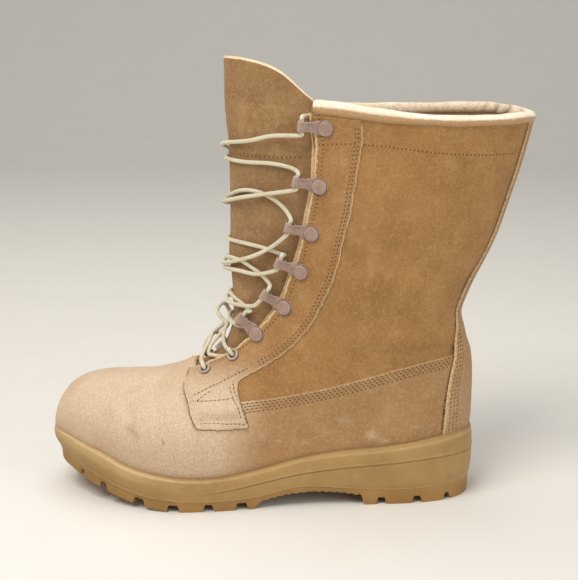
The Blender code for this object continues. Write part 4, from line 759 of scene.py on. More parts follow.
def makeUpper():
    # outer face on a grid of rows and angles, with the throat's edge turned in and the facing under it
    parts = []
    foot, top = boot["throatRow"], boot["shaftTopRow"]
    vamp, shaft = fineRows(0.0, foot, upper["spacing"]), fineRows(foot, top, upper["spacing"])
    shaft[-1] = top
    for side in (1, -1):
        for rows in (vamp, shaft):
            table, angles, height, edge, panel = upperColumns(rows, side)
            place = onLast(table, side * angles, height)
            panel = np.minimum(panel + (table <= foot + 1e-6), 1.0)
            parts.append(sheet(place, side < 0, edge=edge, **leatherFields(place, panel)))
        angles = throatEdge(vamp, side)[:, None] * np.linspace(0, 1, upper["ridgeColumns"] + 1)
        place = onLast(vamp[:, None], side * angles, boot["panelStep"])
        parts.append(sheet(place, side < 0, **leatherFields(place, 1.0)))
        past, height, worn = np.array(upper["lip"]).T[:, :, None]
        parts.append(sheet(onLast(foot + past, side * angles[-1:], height), side < 0, edge=worn))
        reach = (shaftTopRow(throatEdge(shaft[-1:], side), side) - foot) / (top - foot)
        rows = (foot + (shaft - foot) * reach)[:, None]
        for turned in (upper["turned"], upper["facing"]):
            past, height, worn = np.array(turned).T
            place = onLast(rows, side * (throatEdge(rows, side) + past), height)
            parts.append(sheet(place, side < 0, edge=worn))
    makePiece("upperSkin", parts, suede, ("upper",), smoothAngle=50, holes=eyeletHoles)


def makeLining():
    # inner face of the upper, one wall in, facing the foot
    parts = []
    for side in (1, -1):
        rows = fineRows(1.0, boot["throatRow"], 4.0)[:, None]
        angles = side * seatAngle(rows, side) * np.linspace(0, 1, 40)
        parts.append(sheet(onLast(rows, angles, -boot["wall"]), side > 0))
        rows = fineRows(boot["throatRow"], boot["shaftTopRow"], 3.0)[:, None]
        throat = throatEdge(rows, side) + 0.02
        angles = throat + (seatAngle(rows, side) - throat) * np.linspace(0, 1, 44)
        table = upToEdge(rows, angles, side)
        place = lastPlace(table, side * angles) - lastNormal(table, side * angles) * (boot["wall"] + 0.05)
        parts.append(sheet(place, side > 0))
    makePiece("upperLining", parts, liningSkin, smoothAngle=180)


eyestay = {
    "rear": [(87.0, 287.0), (86.6, 272.3), (88.6, 257.0), (91.3, 239.6), (93.6, 223.4), (95.6, 214.5),
             (99.7, 197.4), (101.9, 186.0), (105.9, 171.0), (110.3, 161.0), (113.4, 153.8), (120.2, 139.6),
             (132.4, 123.8), (143.6, 113.9), (157.3, 104.4)],
    "tab": [(169.6, 98.0), (173.4, 95.6), (175.5, 92.4), (175.6, 87.9), (172.9, 79.5), (170.2, 71.0),
            (167.5, 63.6), (168.6, 62.4), (186.0, 62.0), (204.4, 63.0), (205.9, 64.2), (208.2, 69.6),
            (209.9, 74.0), (211.6, 80.0), (212.8, 82.6), (214.3, 86.4), (214.9, 91.0), (214.6, 94.6),
            (212.6, 98.2)],
    "spacing": 1.7, "round": 0.9, "edgeReach": 0.75,
}


def outlineDistance(points, outline):
    # distance from each point to the nearest side of a closed outline, and whether inside
    a, b = outline, np.roll(outline, -1, axis=0)
    best = np.full(len(points), 1e9)
    inside = np.zeros(len(points), bool)
    for block in np.array_split(np.arange(len(points)), max(len(points) // 2000, 1)):
        p = points[block][:, None, :]
        run = (b - a)[None]
        t = np.clip(((p - a) * run).sum(-1) / np.maximum((run ** 2).sum(-1), 1e-12), 0, 1)
        best[block] = np.sqrt((((p - a) - run * t[..., None]) ** 2).sum(-1)).min(axis=1)
        crossing = ((a[None, :, 1] > p[..., 1]) != (b[None, :, 1] > p[..., 1])) & (
            p[..., 0] < a[None, :, 0] + (p[..., 1] - a[None, :, 1]) * (b - a)[None, :, 0]
            / np.where(b[:, 1] == a[:, 1], 1e-9, (b - a)[:, 1])[None])
        inside[block] = crossing.sum(axis=1) % 2 == 1
    return best, inside


def movedIn(outline, distance, closed=True):
    # an outline moved sideways by a distance, to its left
    if closed:
        ahead, behind = np.roll(outline, -1, axis=0), np.roll(outline, 1, axis=0)
    else:
        padded = np.vstack([2 * outline[0] - outline[1], outline, 2 * outline[-1] - outline[-2]])
        ahead, behind = padded[2:], padded[:-2]
    along = unit(ahead - behind)
    return outline + np.stack([-along[:, 1], along[:, 0]], axis=1) * distance


def filledOutline(outline, spacing, insets):
    # triangles over a flat outline, with rings near its edge and an even grid inside
    (x, z), (nextX, nextZ) = outline.T, np.roll(outline, -1, axis=0).T
    if np.sum(x * nextZ - z * nextX) < 0:
        outline = outline[::-1]
    rings = [outline]
    for inset in insets:
        ring = movedIn(outline, inset)
        away, inside = outlineDistance(ring, outline)
        rings.append(ring[inside & (away > inset * 0.9)])
    low, high = outline.min(axis=0), outline.max(axis=0)
    grid = np.stack(np.meshgrid(np.arange(low[0], high[0], spacing),
                                np.arange(low[1], high[1], spacing * 0.866)), axis=-1)
    grid[1::2, :, 0] += spacing / 2
    grid = grid.reshape(-1, 2)
    away, inside = outlineDistance(grid, outline)
    rings.append(grid[inside & (away > insets[-1] + spacing * 0.45)])
    count = len(outline)
    edges = [(i, (i + 1) % count) for i in range(count)]
    found = delaunay_2d_cdt([Vector(p) for p in np.vstack(rings).tolist()], edges, [], 1, 1e-5)
    points = np.array([tuple(p) for p in found[0]])
    return points, np.array(found[2]), outlineDistance(points, outline)[0]


def eyestayOutline(side):
    # up the throat edge, over the top, down the rear edge and round the tab; slightly ragged
    rows = np.linspace(11.05, 30.0, 260)
    rows[-1] = shaftTopRow(throatEdge(rows[-1:], side), side)[0]
    throat = lastPlace(rows, side * (throatEdge(rows, side) + 0.003))[:, [0, 2]]
    rear = smoothPath(eyestay["rear"])
    top = topHeight(rear[0, 0], side)
    rear = np.vstack([[86.9, top], rear[rear[:, 1] < top - 0.5]])
    outline = alongPath(np.vstack([throat, rear, eyestay["tab"], throat[:1]]), 0.9)[:-1]
    s = np.arange(len(outline)) * 0.9
    ragged = (0.16 * np.sin(s / 1.9 + 2 * np.sin(s / 11.0)) + 0.14 * np.sin(s / 0.83 + 1.0)
              + 0.12 * np.sin(s / 4.7))
    return outline + (movedIn(outline, 1.0) - outline) * ragged[:, None]


def tabWave(x, z):
    # the tab's rumple: a swell above a dip, dying out towards its ends
    swell = 1.9 * bell(z, 75.5, 3.8) - 1.5 * bell(z, 68.3, 2.2)
    return swell * smoothStep(x, 171, 178) * (1 - smoothStep(x, 200, 209))


def onEyestay(row, angle, height):
    # height over the quarter, or over the raised panel where the eyestay crosses it
    side = np.where(angle < 0, -1.0, 1.0)
    seam = np.where(side > 0, seamAngle(row, 1), seamAngle(row, -1))
    place = lastPlace(row, angle)
    under = boot["panelStep"] * smoothStep(np.abs(angle) - seam, -0.03, 0.03)
    return onLast(row, angle, height + under + tabWave(place[..., 0], place[..., 2]))


def makeEyestay(side, word):
    # the outline filled with triangles, laid on the leather, its cut edge rounded over
    points, faces, away = filledOutline(eyestayOutline(side), eyestay["spacing"], (0.15, 0.4, 0.9))
    row, angle = findOnLast(points[:, 0], points[:, 1], side)
    height = boot["overlay"] * rounded(away, eyestay["round"]) + 0.1
    height = height + 0.5 * bell(lineDistance(lastPlace(row, angle), eyestay["tab"][9:17]), 0, 3.0)
    place = onEyestay(row, angle, height)
    x, z = place[:, 0], place[:, 2]
    toThroat = np.abs(np.abs(angle) - throatEdge(row, side)) * boot["shaftRadius"]
    edge = np.clip(1.1 * np.exp(-away / eyestay["edgeReach"]) + 0.7 * np.exp(-toThroat / 1.3), 0, 1)
    # the tab's scuff value is a painted highlight along the rumple's swell
    fields = {"edge": edge * (1 - 0.9 * smoothStep(z, 281, 286)),
              "dust": 0.9 * (1 - smoothStep(z, 78, 122)) + 0.05,
              "soil": 0.10 * bell(away, 2.2, 1.2), "scuff": 0.25 * bell(z, 76.0, 4.0) * (x > 168)}
    makePiece("eyestay" + word.capitalize(), [(place, faces[:, ::-side], fields)], suede,
              ("eyestay_" + word,), weld=False, holes=eyeletHoles)


backstay = {
    "halfWidth": [      # z, half width
        (44.0, 28.2), (50.0, 28.6), (62.0, 29.2), (74.0, 28.8), (84.0, 27.6), (94.0, 26.2), (104.0, 24.6),
        (114.0, 22.8), (122.0, 21.0), (128.0, 19.0), (134.0, 16.8), (142.0, 15.4), (154.0, 14.6),
        (175.0, 13.6), (200.0, 13.0), (300.0, 13.0)],
    "low": 44.0, "insets": [0.0, 0.12, 0.35, 0.8],      # columns in from the rounded edge
}


def backstayEdge(z):
    # the backstay's half width at a height
    return lookUp(smoothPath(backstay["halfWidth"]), z)


def makeBackstay():
    # a strip over the heel and up the back, its long edges rounded over
    zs = np.linspace(backstay["low"], 284.0, 170)[:, None]
    half = backstayEdge(zs)
    inset = np.array(backstay["insets"])
    ys = np.hstack([-half + inset[:-1], (half - inset[-1]) * np.linspace(-1, 1, 48),
                    half - inset[-2::-1]])
    away = half - np.abs(ys)
    place, _ = onBackstay(ys, zs, boot["overlay"] * rounded(away, inset[-1]) + 0.1)
    # painted shade at the strip's foot, where it meets the heel's rand
    part = sheet(place, True, edge=0.33 + 0.35 * np.exp(-away / 0.5),
                 dust=0.3 - 0.12 * smoothStep(zs, 70, 130),
                 soil=0.25 * np.exp(-np.clip(zs - 54, 0, None) / 3.0))
    makePiece("backstayStrip", [part], suede, ("backstay",), smoothAngle=180)


collar = {"wide": 9.8, "front": 10.8, "back": 7.8, "inward": 1.0, "overlap": 1.0, "rings": 300,
          "sides": 44, "endRound": 3.2, "fuzz": 5200,
          "pinches": [(-19.5, 2.0), (-12.0, 1.8), (-4.0, 0.9), (-27.0, 0.9), (60.0, 0.4), (94.0, 0.4)]}


def makeCollar():
    # a padded roll carried along the shaft's top edge, its ends drawn in to blunt tips
    path, outward = [], []
    for side in (1, -1):
        throat = throatEdge(np.array([boot["shaftTopRow"]]), side)
        angles = throat + (math.pi - throat) * np.linspace(0, 1, 160)
        top = shaftTopRow(angles, side)
        order = slice(None) if side > 0 else slice(-2, None, -1)
        path.append(lastPlace(top, side * angles)[order])
        outward.append(lastNormal(top, side * angles)[order])
    packed = alongPath(np.hstack([np.concatenate(path), np.concatenate(outward)]), count=collar["rings"])
    path, outward = packed[:, :3], packed[:, 3:]
    outward[:, 2] = 0
    outward = unit(outward)
    length = runLength(path)[:, None]
    fromEnd = np.minimum(length, length[-1] - length)
    blunt = rounded(fromEnd, collar["endRound"])
    high = collar["front"] + (collar["back"] - collar["front"]) * smoothStep(fromEnd, 20, 95)
    wave = 1 + 0.035 * np.sin(length / 7.3) + 0.025 * np.sin(length / 3.9 + 1.1)
    turn = np.linspace(0, 2 * math.pi, collar["sides"], endpoint=False)
    across = squared(np.cos(turn), 0.86) * collar["wide"] / 2
    upward = squared(np.sin(turn), 0.86) / 2
    centre = path - outward * (boot["wall"] / 2 + collar["inward"])
    centre[:, 2] = path[:, 2] + high[:, 0] / 2 - collar["overlap"]
    ring = centre[:, None, :] + outward[:, None, :] * (across * blunt * wave)[..., None]
    ring[..., 2] += upward * high * (0.3 + 0.7 * blunt) * wave
    x, y = ring[..., 0], ring[..., 1]
    pinched = np.zeros(x.shape)
    for x0, depth in collar["pinches"]:
        pinch = depth * (np.cos(turn) < 0.15) * bell(x + 0.4 * (ring[..., 2] - 280), x0, 1.7) * (y < 0)
        ring = ring + outward[:, None, :] * pinch[..., None]
        pinched = pinched + 0.3 * pinch
    # the lower outer side blends into darker binding leather, its darkening towards the roll's underside
    # partly painted shade
    under = smoothStep(-np.sin(turn) + 0.55 * np.cos(turn), -0.1, 0.9) * (np.cos(turn) > -0.3)
    under = np.maximum(under, 0.42 * smoothStep(-np.cos(turn), -0.1, 0.5))
    # painted shade in the pinches and along the roll's underside where it meets the shaft
    soil = np.clip(pinched + 0.6 * bell(turn, 1.5 * math.pi, 0.5), 0, 1)
    parts = [sheet(ring, closed=True, under=under, soil=soil), cap(ring[0], False, under=0.4),
             cap(ring[-1], True, under=0.4)]
    piece = makePiece("collarRoll", parts, collarPile, ("collar",), smoothAngle=180)
    random = np.random.default_rng(5)
    k = random.integers(4, collar["rings"] - 4, collar["fuzz"])
    j = random.integers(0, collar["sides"], collar["fuzz"])
    keep = np.sin(turn[j]) > -0.35
    k, j = k[keep], j[keep]
    outwards = unit(ring[k, j] - centre[k])
    along = unit(path[k + 1] - path[k - 1])
    pile.append(fibreMesh(ring[k, j] - outwards * 0.15, outwards, along, (0.6, 1.6), 0.07, random))


tongue = {
    "wall": 1.5, "gap": 1.3, "flap": 0.30, "power": 2.3, "rows": 190, "columns": 90,
    "top": np.array([(-2.0, 276.0), (-1.25, 286.0), (-1.0, 292.0), (-0.92, 298.5), (-0.78, 312.0),
                     (-0.6, 320.8), (-0.42, 324.3), (-0.22, 326.2), (-0.08, 327.2), (0.0, 328.4),
                     (0.22, 328.8), (0.42, 328.4), (0.5, 327.5), (0.6, 325.7), (0.7, 322.6), (0.78, 317.9),
                     (0.85, 311.4), (0.92, 304.9), (1.0, 298.5), (1.25, 288.0), (2.0, 278.0)]),
}


def tonguePlace(row, across):
    # hugs the quarters' inside at its flaps and bulges ahead of the throat between them
    row, across = np.broadcast_arrays(np.asarray(row, float), np.asarray(across, float))
    s = station(row)
    side = np.where(across < 0, -1.0, 1.0)
    reach = np.abs(across)
    edgeAngle = np.where(across < 0, throatAngle(row, -1), throatAngle(row, 1))
    angle = np.where(reach <= 1, edgeAngle * reach, edgeAngle + tongue["flap"] * (reach - 1))
    tuck = 6.0 * np.clip((row - 26.5) / 3.0, 0, 1)
    close = np.clip((14.0 - row) / 2.0, 0, 1)
    inset = -(boot["wall"] + tongue["gap"] * (1 - 0.6 * close) + tuck)[..., None]
    hugging, edge = (lastPlace(row, side * at) + lastNormal(row, side * at) * inset
                     for at in (angle, edgeAngle))
    run = unit(np.stack([s["frontX"] - s["backX"], s["frontZ"] - s["backZ"]], axis=-1))
    front = np.stack([s["frontX"], s["frontZ"]], axis=-1) + run * s["tongue"][..., None]
    turn = np.clip(reach, 0, 1) * math.pi / 2
    power = tongue["power"]
    radius = (np.cos(turn) ** power + np.sin(turn) ** power) ** (-1 / power)
    ahead, sideways = np.cos(turn) * radius, np.sin(turn) * radius
    bulging = np.stack([edge[..., 0] + (front[..., 0] - edge[..., 0]) * ahead,
                        s["middle"] + (edge[..., 1] - s["middle"]) * sideways,
                        edge[..., 2] + (front[..., 1] - edge[..., 2]) * ahead], axis=-1)
    bulge = smoothStep(row, 12.0, 15.0) * (reach <= 1)
    place = hugging + (bulging - hugging) * bulge[..., None]
    y, z = place[..., 1], place[..., 2]
    wave = 0.5 * np.sin(z / 23.0 + y / 11.0) * smoothStep(row, 15, 19)
    place[..., 0] += wave + 0.2 * np.sin(z / 9.0 + 2.0 * np.sin(y / 13.0)) * smoothStep(row, 14, 20)
    return place


def tongueNormal(row, across):
    # outward normal, from the same two small steps as on the last
    upRows = tonguePlace(row + 0.01, across) - tonguePlace(row - 0.01, across)
    aroundIt = tonguePlace(row, across + 0.01) - tonguePlace(row, across - 0.01)
    return unit(np.cross(aroundIt, upRows))


def tongueRow(across, z, low=12.0):
    # row at which a line up the tongue reaches a height
    return bisect(lambda row: tonguePlace(row, across)[..., 2] < z, low, 32.0)


def onTongue(across, z, lift=0.0):
    # point on the tongue at a share across and a height, lifted off it
    across, z = np.broadcast_arrays(np.asarray(across, float), np.asarray(z, float))
    row = tongueRow(across, z, 11.0)
    return tonguePlace(row, across) + tongueNormal(row, across) * np.asarray(lift, float)[..., None]


def makeTongue():
    # a sheet from the gusset's foot to the shaped top, given its thickness inward
    share = np.linspace(-1, 1, tongue["columns"])
    across = 0.4 * np.sin(share * math.pi / 2) + 1.6 * share
    top = tongueRow(across, lookUp(tongue["top"], across), 24.0)
    low, high = 9.8, 30.0
    rows = np.linspace(low, high, tongue["rows"])[:, None]
    table = low + (rows - low) / (high - low) * (top - low)
    place = tonguePlace(table, across)
    fromTop = (top - table) * 11.0
    # painted shade low on the tongue, where it sinks into the throat's foot
    part = sheet(place, edge=1.6 * np.exp(-fromTop / 0.7), dust=0.12 * smoothStep(place[..., 2], 300, 250),
                 soil=0.22 * (1 - smoothStep(table, 12, 17)) * (np.abs(across) < 1.2))
    makePiece("tongueGusset", [part], tongueSuede, ("tongue",), weld=False,
              wall=tongue["wall"], smoothAngle=50)


def placeFrame(x, z, side, lift, lowered=0.0):
    # frame on the eyestay: first axis to the throat, turned down by some degrees, third outward
    row, angle = findOnLast(x, z, side)
    normal = lastNormal(row, angle)
    ahead = lastPlace(row, angle - side * 0.01) - lastPlace(row, angle)
    ahead = unit(ahead - normal * np.sum(ahead * normal))
    turn = math.radians(lowered) * side
    ahead = ahead * math.cos(turn) + np.cross(normal, ahead) * math.sin(turn)
    return onLast(row, angle, lift), np.stack([ahead, np.cross(normal, ahead), normal])


def inFrame(points, frameOf):
    # points given along a frame's three axes
    origin, axes = frameOf
    return origin + np.asarray(points, float) @ axes


hook = {
    "places": [(111.6, 280.6), (115.6, 239.6), (121.1, 205.3), (128.6, 176.5), (140.6, 148.9),
               (161.0, 127.1)],
    "medialDrop": [9.0, 4.0, 1.5, 0.0, 0.0, 0.0], "lowered": [3.0, 13.0, 15.0, 11.0, 5.0, 2.0],
    "metal": 1.1, "channel": 4.4, "reach": 19.5, "rise": 1.6,
    # radius and height of the pressed button, then the arm's first points along and out
    "button": [(0.01, -0.25), (5.5, -0.25), (5.9, 0.05), (5.95, 0.5), (5.7, 0.85), (5.5, 0.8), (5.42, 0.6),
               (5.36, 0.9), (5.3, 1.4), (5.0, 1.78), (4.5, 1.9), (2.5, 1.98), (0.01, 2.0)],
    "neck": [(1.0, 0.45), (4.0, 0.5), (6.4, 0.95), (9.0, 2.6), (11.6, 5.2)],
    # distance along the arm and its half width
    "taper": [(0.0, 5.4), (3.0, 5.3), (5.0, 4.9), (7.0, 4.25), (9.0, 3.7), (12.0, 3.45), (15.5, 3.5),
              (18.0, 3.8), (25.5, 3.85), (28.5, 3.3), (30.0, 2.4)],
}
eyelet = {"places": [(178.7, 110.9), (199.7, 99.6)], "radius": 5.0, "hole": 2.35, "high": 1.25}


def lathe(profile, steps):
    # a profile of radius and height turned about the third axis
    turn = np.linspace(0, 2 * math.pi, steps, endpoint=False)
    radius, high = profile[:, :1], profile[:, 1:]
    return np.stack([radius * np.cos(turn), radius * np.sin(turn), np.repeat(high, steps, axis=1)], axis=-1)


def hookShape():
    # a pressed button on a plate whose arm rises over the throat's edge and curls under at its end
    profile = smoothPath(hook["button"], 4)
    radius, high = profile[:, :1], profile[:, 1:]
    # painted shade in the groove between the plate's rim and the button
    button = sheet(lathe(profile, 44), True, True, worn=0.5 * bell(radius, 4.9, 0.3) * (high > 1.2),
                   soil=0.9 * bell(radius, 5.45, 0.16) * (high > 0.3))
    half = hook["channel"] / 2 + hook["metal"] / 2
    middle = hook["rise"] + hook["metal"] + hook["channel"] / 2
    bendX = hook["reach"] - half - hook["metal"] / 2
    arc = np.linspace(math.pi / 2, -math.pi / 2, 16)
    path = [*hook["neck"], (13.8, middle + half - 0.45),
            *zip(bendX + half * np.cos(arc), middle + half * np.sin(arc)),
            (bendX - 2.2, middle - half), (bendX - 4.4, middle - half + 0.25)]
    path = alongPath(smoothPath(path, 8), count=76)
    normal = unit(np.stack([-np.gradient(path[:, 1]), np.gradient(path[:, 0])], axis=1))
    run = runLength(path)[:, None]
    taper = smoothPath(hook["taper"], 6)
    width = lookUp(taper, run / run[-1] * taper[-1, 0])
    turn = np.linspace(0, 2 * math.pi, 28, endpoint=False)
    side = squared(np.cos(turn), 0.3)
    thick = squared(np.sin(turn), 0.5) * hook["metal"] * 0.42
    rib = 0.32 * bell(side, 0, 0.35) - 0.12 * bell(np.abs(side), 0.62, 0.12)
    ribbed = smoothStep(run, 6, 9) * (1 - smoothStep(run, 17, 19))
    ends = np.minimum(np.clip(run / 0.5, 0, 1), np.clip((run[-1] - run) / 0.5, 0, 1))
    xz = path[:, None, :] + normal[:, None, :] * (thick * ends + rib * ribbed)[..., None]
    arm = np.stack([xz[..., 0], width * side * (0.15 + 0.85 * ends), xz[..., 1]], axis=-1)
    worn = np.clip(0.45 * np.abs(side) ** 8 + 0.7 * bell(run, 19.5, 1.6), 0, 1)
    # painted shade in the groove on one side of the rib and at the arm's root
    soil = 0.35 * ribbed * bell(side, -0.62, 0.14) + 0.5 * np.exp(-(run / 4.6) ** 4)
    return [button, sheet(arm, True, True, worn=worn, soil=soil), cap(arm[0], False), cap(arm[-1], True)]


def eyeletShape():
    # a rolled flange with a barrel that runs down into the leather
    r, h, hole = eyelet["radius"], eyelet["high"], eyelet["hole"]
    profile = smoothPath([(r - 0.1, -0.5), (r, 0.1), (r - 0.15, 0.7), (r - 0.7, h), (r - 1.35, h + 0.08),
                          (r - 2.0, h - 0.15), (hole + 0.1, h - 0.75), (hole, -0.4), (hole, -3.4)], 4)
    radius, high = profile[:, :1], profile[:, 1:]
    worn = 0.35 + 0.35 * bell(radius, r - 1.2, 0.4) * (high > 0.9)
    # painted shade down inside the barrel and round the flange's foot on the leather
    soil = smoothStep(-high, -0.9, 0.6) * (radius < 3.0) + 0.8 * bell(radius, r, 0.25) * (high < 0.5)
    return [sheet(lathe(profile, 40), closed=True, worn=worn, soil=soil)]


surfaceLift = boot["gap"] + boot["overlay"]
hookFrames = {side: [placeFrame(x, z - (drop if side < 0 else 0), side, surfaceLift, lowered)
                     for (x, z), drop, lowered in zip(hook["places"], hook["medialDrop"], hook["lowered"])]
              for side in (1, -1)}
eyeletFrames = {side: [placeFrame(x, z, side, surfaceLift + 0.1) for x, z in eyelet["places"]]
                for side in (1, -1)}
eyeletHoles = [(origin, axes[2], 2.9) for side in (1, -1) for origin, axes in eyeletFrames[side]]


def makeHardware():
    # the same hook and eyelet shapes set on each of their frames
    kinds = (("hook", hookShape(), hookFrames), ("eyelet", eyeletShape(), eyeletFrames))
    for side, word in sides:
        for kind, shape, frames in kinds:
            for k, frameOf in enumerate(frames[side], 1):
                parts = [(inFrame(points, frameOf), faces, fields) for points, faces, fields in shape]
                makePiece(f"{kind}{word.capitalize()}{k}", parts, hookPaint,
                          (f"{kind}_{word}_{k}",), smoothAngle=50)


makeUpper()
makeLining()
for side, word in sides:
    makeEyestay(side, word)
makeBackstay()
makeCollar()
makeTongue()
makeHardware()
print("upper, eyestays, backstay, collar, tongue and hooks made")


sole = {
    "points": 620, "lip": 2.4, "lugDepth": 5.5, "gapReach": 24.0,
    # share up the wall and how far it stands out, at the toe and at the sides
    "outToe": [(0.0, -7.3), (0.10, -6.0), (0.3, -3.9), (0.45, -2.6), (0.62, -1.8), (0.76, -1.7),
               (0.88, -2.2), (0.95, -2.6), (1.0, -3.2)],
    "outSide": [(0.0, -0.8), (0.10, 1.0), (0.3, 1.6), (0.48, 1.75), (0.62, 1.75), (0.82, 1.45),
                (0.95, 0.7), (1.0, 0.0)],
    # out and up from the rand, and painted shade, over the midsole's lip and down inside
    "inside": [(-1.7, 0.25, 0.1), (-2.5, -0.1, 0.5), (-3.6, -1.6, 0.9), (-3.9, -8.0, 1.0)],
    # out, share down the lug and wear, round the outsole's edge
    "rim": [(-6.0, 0.0, 0), (-1.2, 0.0, 0), (0.4, 0.0, 0.2), (0.75, 0.03, 0.5), (0.5, 0.1, 0.1),
            (0.4, 0.3, 0), (0.2, 0.6, 0), (0.0, 0.9, 0.1), (-0.25, 1.0, 0.3)],
    # gaps between the edge lugs, x and width, and the waist's arch, x and height
    "gaps": [(20.0, 6.0), (42.0, 8.0), (69.0, 8.0), (173.5, 10.0), (197.0, 8.5), (222.5, 10.0),
             (248.0, 10.0), (276.5, 7.0), (294.5, 5.0)],
    "waist": [(82.0, 0.0), (83.2, 8.2), (100.0, 11.0), (121.0, 12.4), (141.0, 10.6), (156.5, 7.0),
              (163.5, 1.2), (164.6, 0.0)],
}


def randOutline():
    # plan outline of the last at the rand's height: a closed loop of points and outward normals
    halves = []
    rows = np.concatenate([np.linspace(0.03, 4, 320), np.linspace(4, 21, 480)[1:]])
    for side in (1, -1):
        def above(angle):
            place = lastPlace(rows, side * angle)
            return place[..., 2] > sideLine("rand", place[..., 0])

        first, last = np.zeros_like(rows), np.full_like(rows, math.pi - 1e-4)
        found = above(first) & ~above(last)
        halves.append(lastPlace(rows, side * bisect(above, first, last))[found][:, :2])
    tip, heel = 0.5 * (halves[0][0] + halves[1][0]), 0.5 * (halves[0][-1] + halves[1][-1])
    lateral, medial = (alongPath(np.vstack([tip, half, heel]), count=sole["points"] // 2 + 1)
                       for half in halves)
    loop = np.vstack([lateral, medial[-2:0:-1]])
    along = unit(np.roll(loop, -2, axis=0) - np.roll(loop, 2, axis=0))
    return loop, np.stack([along[:, 1], -along[:, 0]], axis=1)


def soleWall(share, toe):
    # how far the wall stands out from the last: from the side profile to the toe's
    side, front = (lookUp(smoothPath(sole[name], 10), share) for name in ("outSide", "outToe"))
    return boot["panelStep"] + boot["gap"] + sole["lip"] + side * (1 - toe) + front * toe


def groundHeight(x):
    # toe spring: the tread rises ahead of the ball with a power of 1.5
    return 0.0267 * np.clip(x - 222.0, 0, None) ** 1.5


def makeMidsole():
    # wall profile carried round the foot's outline, then over the rand's lip and down inside
    loop, normal = randOutline()
    x = loop[:, 0]
    tread, groove, rand, bed = (sideLine(name, x) for name in ("tread", "groove", "rand", "bed"))
    toe, grooved = sideLine("toe", x), np.clip(sideLine("grooveShare", x), 0, 1)
    parting, ahead = tread + (rand - tread) * 0.22, smoothStep(x, 215, 262)
    share = np.concatenate([np.linspace(0, 0.12, 8)[:-1], np.linspace(0.12, 0.93, 60),
                            np.linspace(0.93, 1, 6)[1:]])[:, None]
    z = tread + (rand - tread) * share
    out = soleWall(share, toe) + 0.55 * bell(z, tread + 1.0, 0.7)
    out = out + grooved * (0.35 * bell(z, groove + 1.0, 0.8) - 0.55 * bell(z, groove, 0.42))
    out = out - 0.3 * ahead * bell(z, parting, 0.35)
    out = out - 1.3 * (1 - np.sqrt(1 - np.clip((share - 0.9) / 0.1, 0, 1) ** 2))
    base = soleWall(0.0, toe)
    more, rise, insideShade = np.array(sole["inside"]).T[:, :, None]
    reach = np.vstack([base - 8.0, base - 3.0, out, out[-1] + more])
    rings = np.dstack([loop + normal * reach[..., None], np.vstack([bed, tread - 0.1, z, rand + rise])])
    # painted highlights along the rand's rounded lip and the bead over the tread line, and paler over the
    # toe's upper wall
    worn = 0.4 * bell(share, 0.92, 0.04) + 0.6 * bell(z, tread + 1.1, 0.5)
    worn = worn + 0.45 * smoothStep(x, 190, 250) * smoothStep(share, 0.3, 0.8)
    # painted shade in the groove, along the tread line and along the toe's parting line
    soil = 0.45 * grooved * bell(z, groove, 0.4) + 0.3 * bell(z, tread, 0.5)
    soil = soil + 0.3 * ahead * bell(z, parting, 0.3)
    pleat = bell(share, 0.9, 0.09) * bell(x, 215, 24)
    empty = np.zeros((len(more), len(x)))
    worn, soil, pleat = (np.vstack([empty[:2], wall, inside + empty])
                         for wall, inside in ((worn, 0), (soil, insideShade), (pleat, 0)))
    makePiece("midsoleCup", [sheet(rings, closed=True, worn=worn, soil=soil, pleat=pleat)], soleCompound,
              ("midsole",), smoothAngle=45)
    return loop, normal


def treadPattern(x, y, loop, normal, inwardFrom):
    # 1 where the tread is cut away: edge gaps, a channel inside the edge lugs, and chevrons
    cut = np.zeros(x.shape)
    for gapX, width in sole["gaps"]:
        for side in (1, -1):
            near = np.where((loop[:, 1] - np.interp(loop[:, 0], [0, 320], [0, -10])) * side > 0)[0]
            k = near[np.argmin(np.abs(loop[near, 0] - gapX))]
            edge, out = loop[k] + normal[k] * 4.0, normal[k]
            alongIt = (x - edge[0]) * -out[1] + (y - edge[1]) * out[0]
            inIt = -((x - edge[0]) * out[0] + (y - edge[1]) * out[1])
            mask = (1 - smoothStep(np.abs(alongIt), width * 0.32, width * 0.5))
            cut = np.maximum(cut, mask * (inIt < sole["gapReach"] + 1) * (inIt > -9))
    fore, heel, within = smoothStep(x, 163, 165), 1 - smoothStep(x, 82, 84), inwardFrom > 25
    channel = 1 - smoothStep(np.abs(inwardFrom - 26.0), 1.1, 2.2)
    pitch = np.mod(x + 0.62 * np.abs(y) - 168.0, 25.5) - 12.75
    pitchHeel = np.mod(x - 0.5 * np.abs(y) - 4.0, 21.0) - 10.5
    for grooves in (channel * np.maximum(fore * (x < 292), heel * (x > 16)),
                    (1 - smoothStep(np.abs(pitch), 2.4, 3.6)) * within * fore,
                    (1 - smoothStep(np.abs(y - 0.5), 1.2, 2.2)) * within * fore,
                    (1 - smoothStep(np.abs(pitchHeel), 1.8, 2.9)) * within * heel):
        cut = np.maximum(cut, grooves)
    return cut


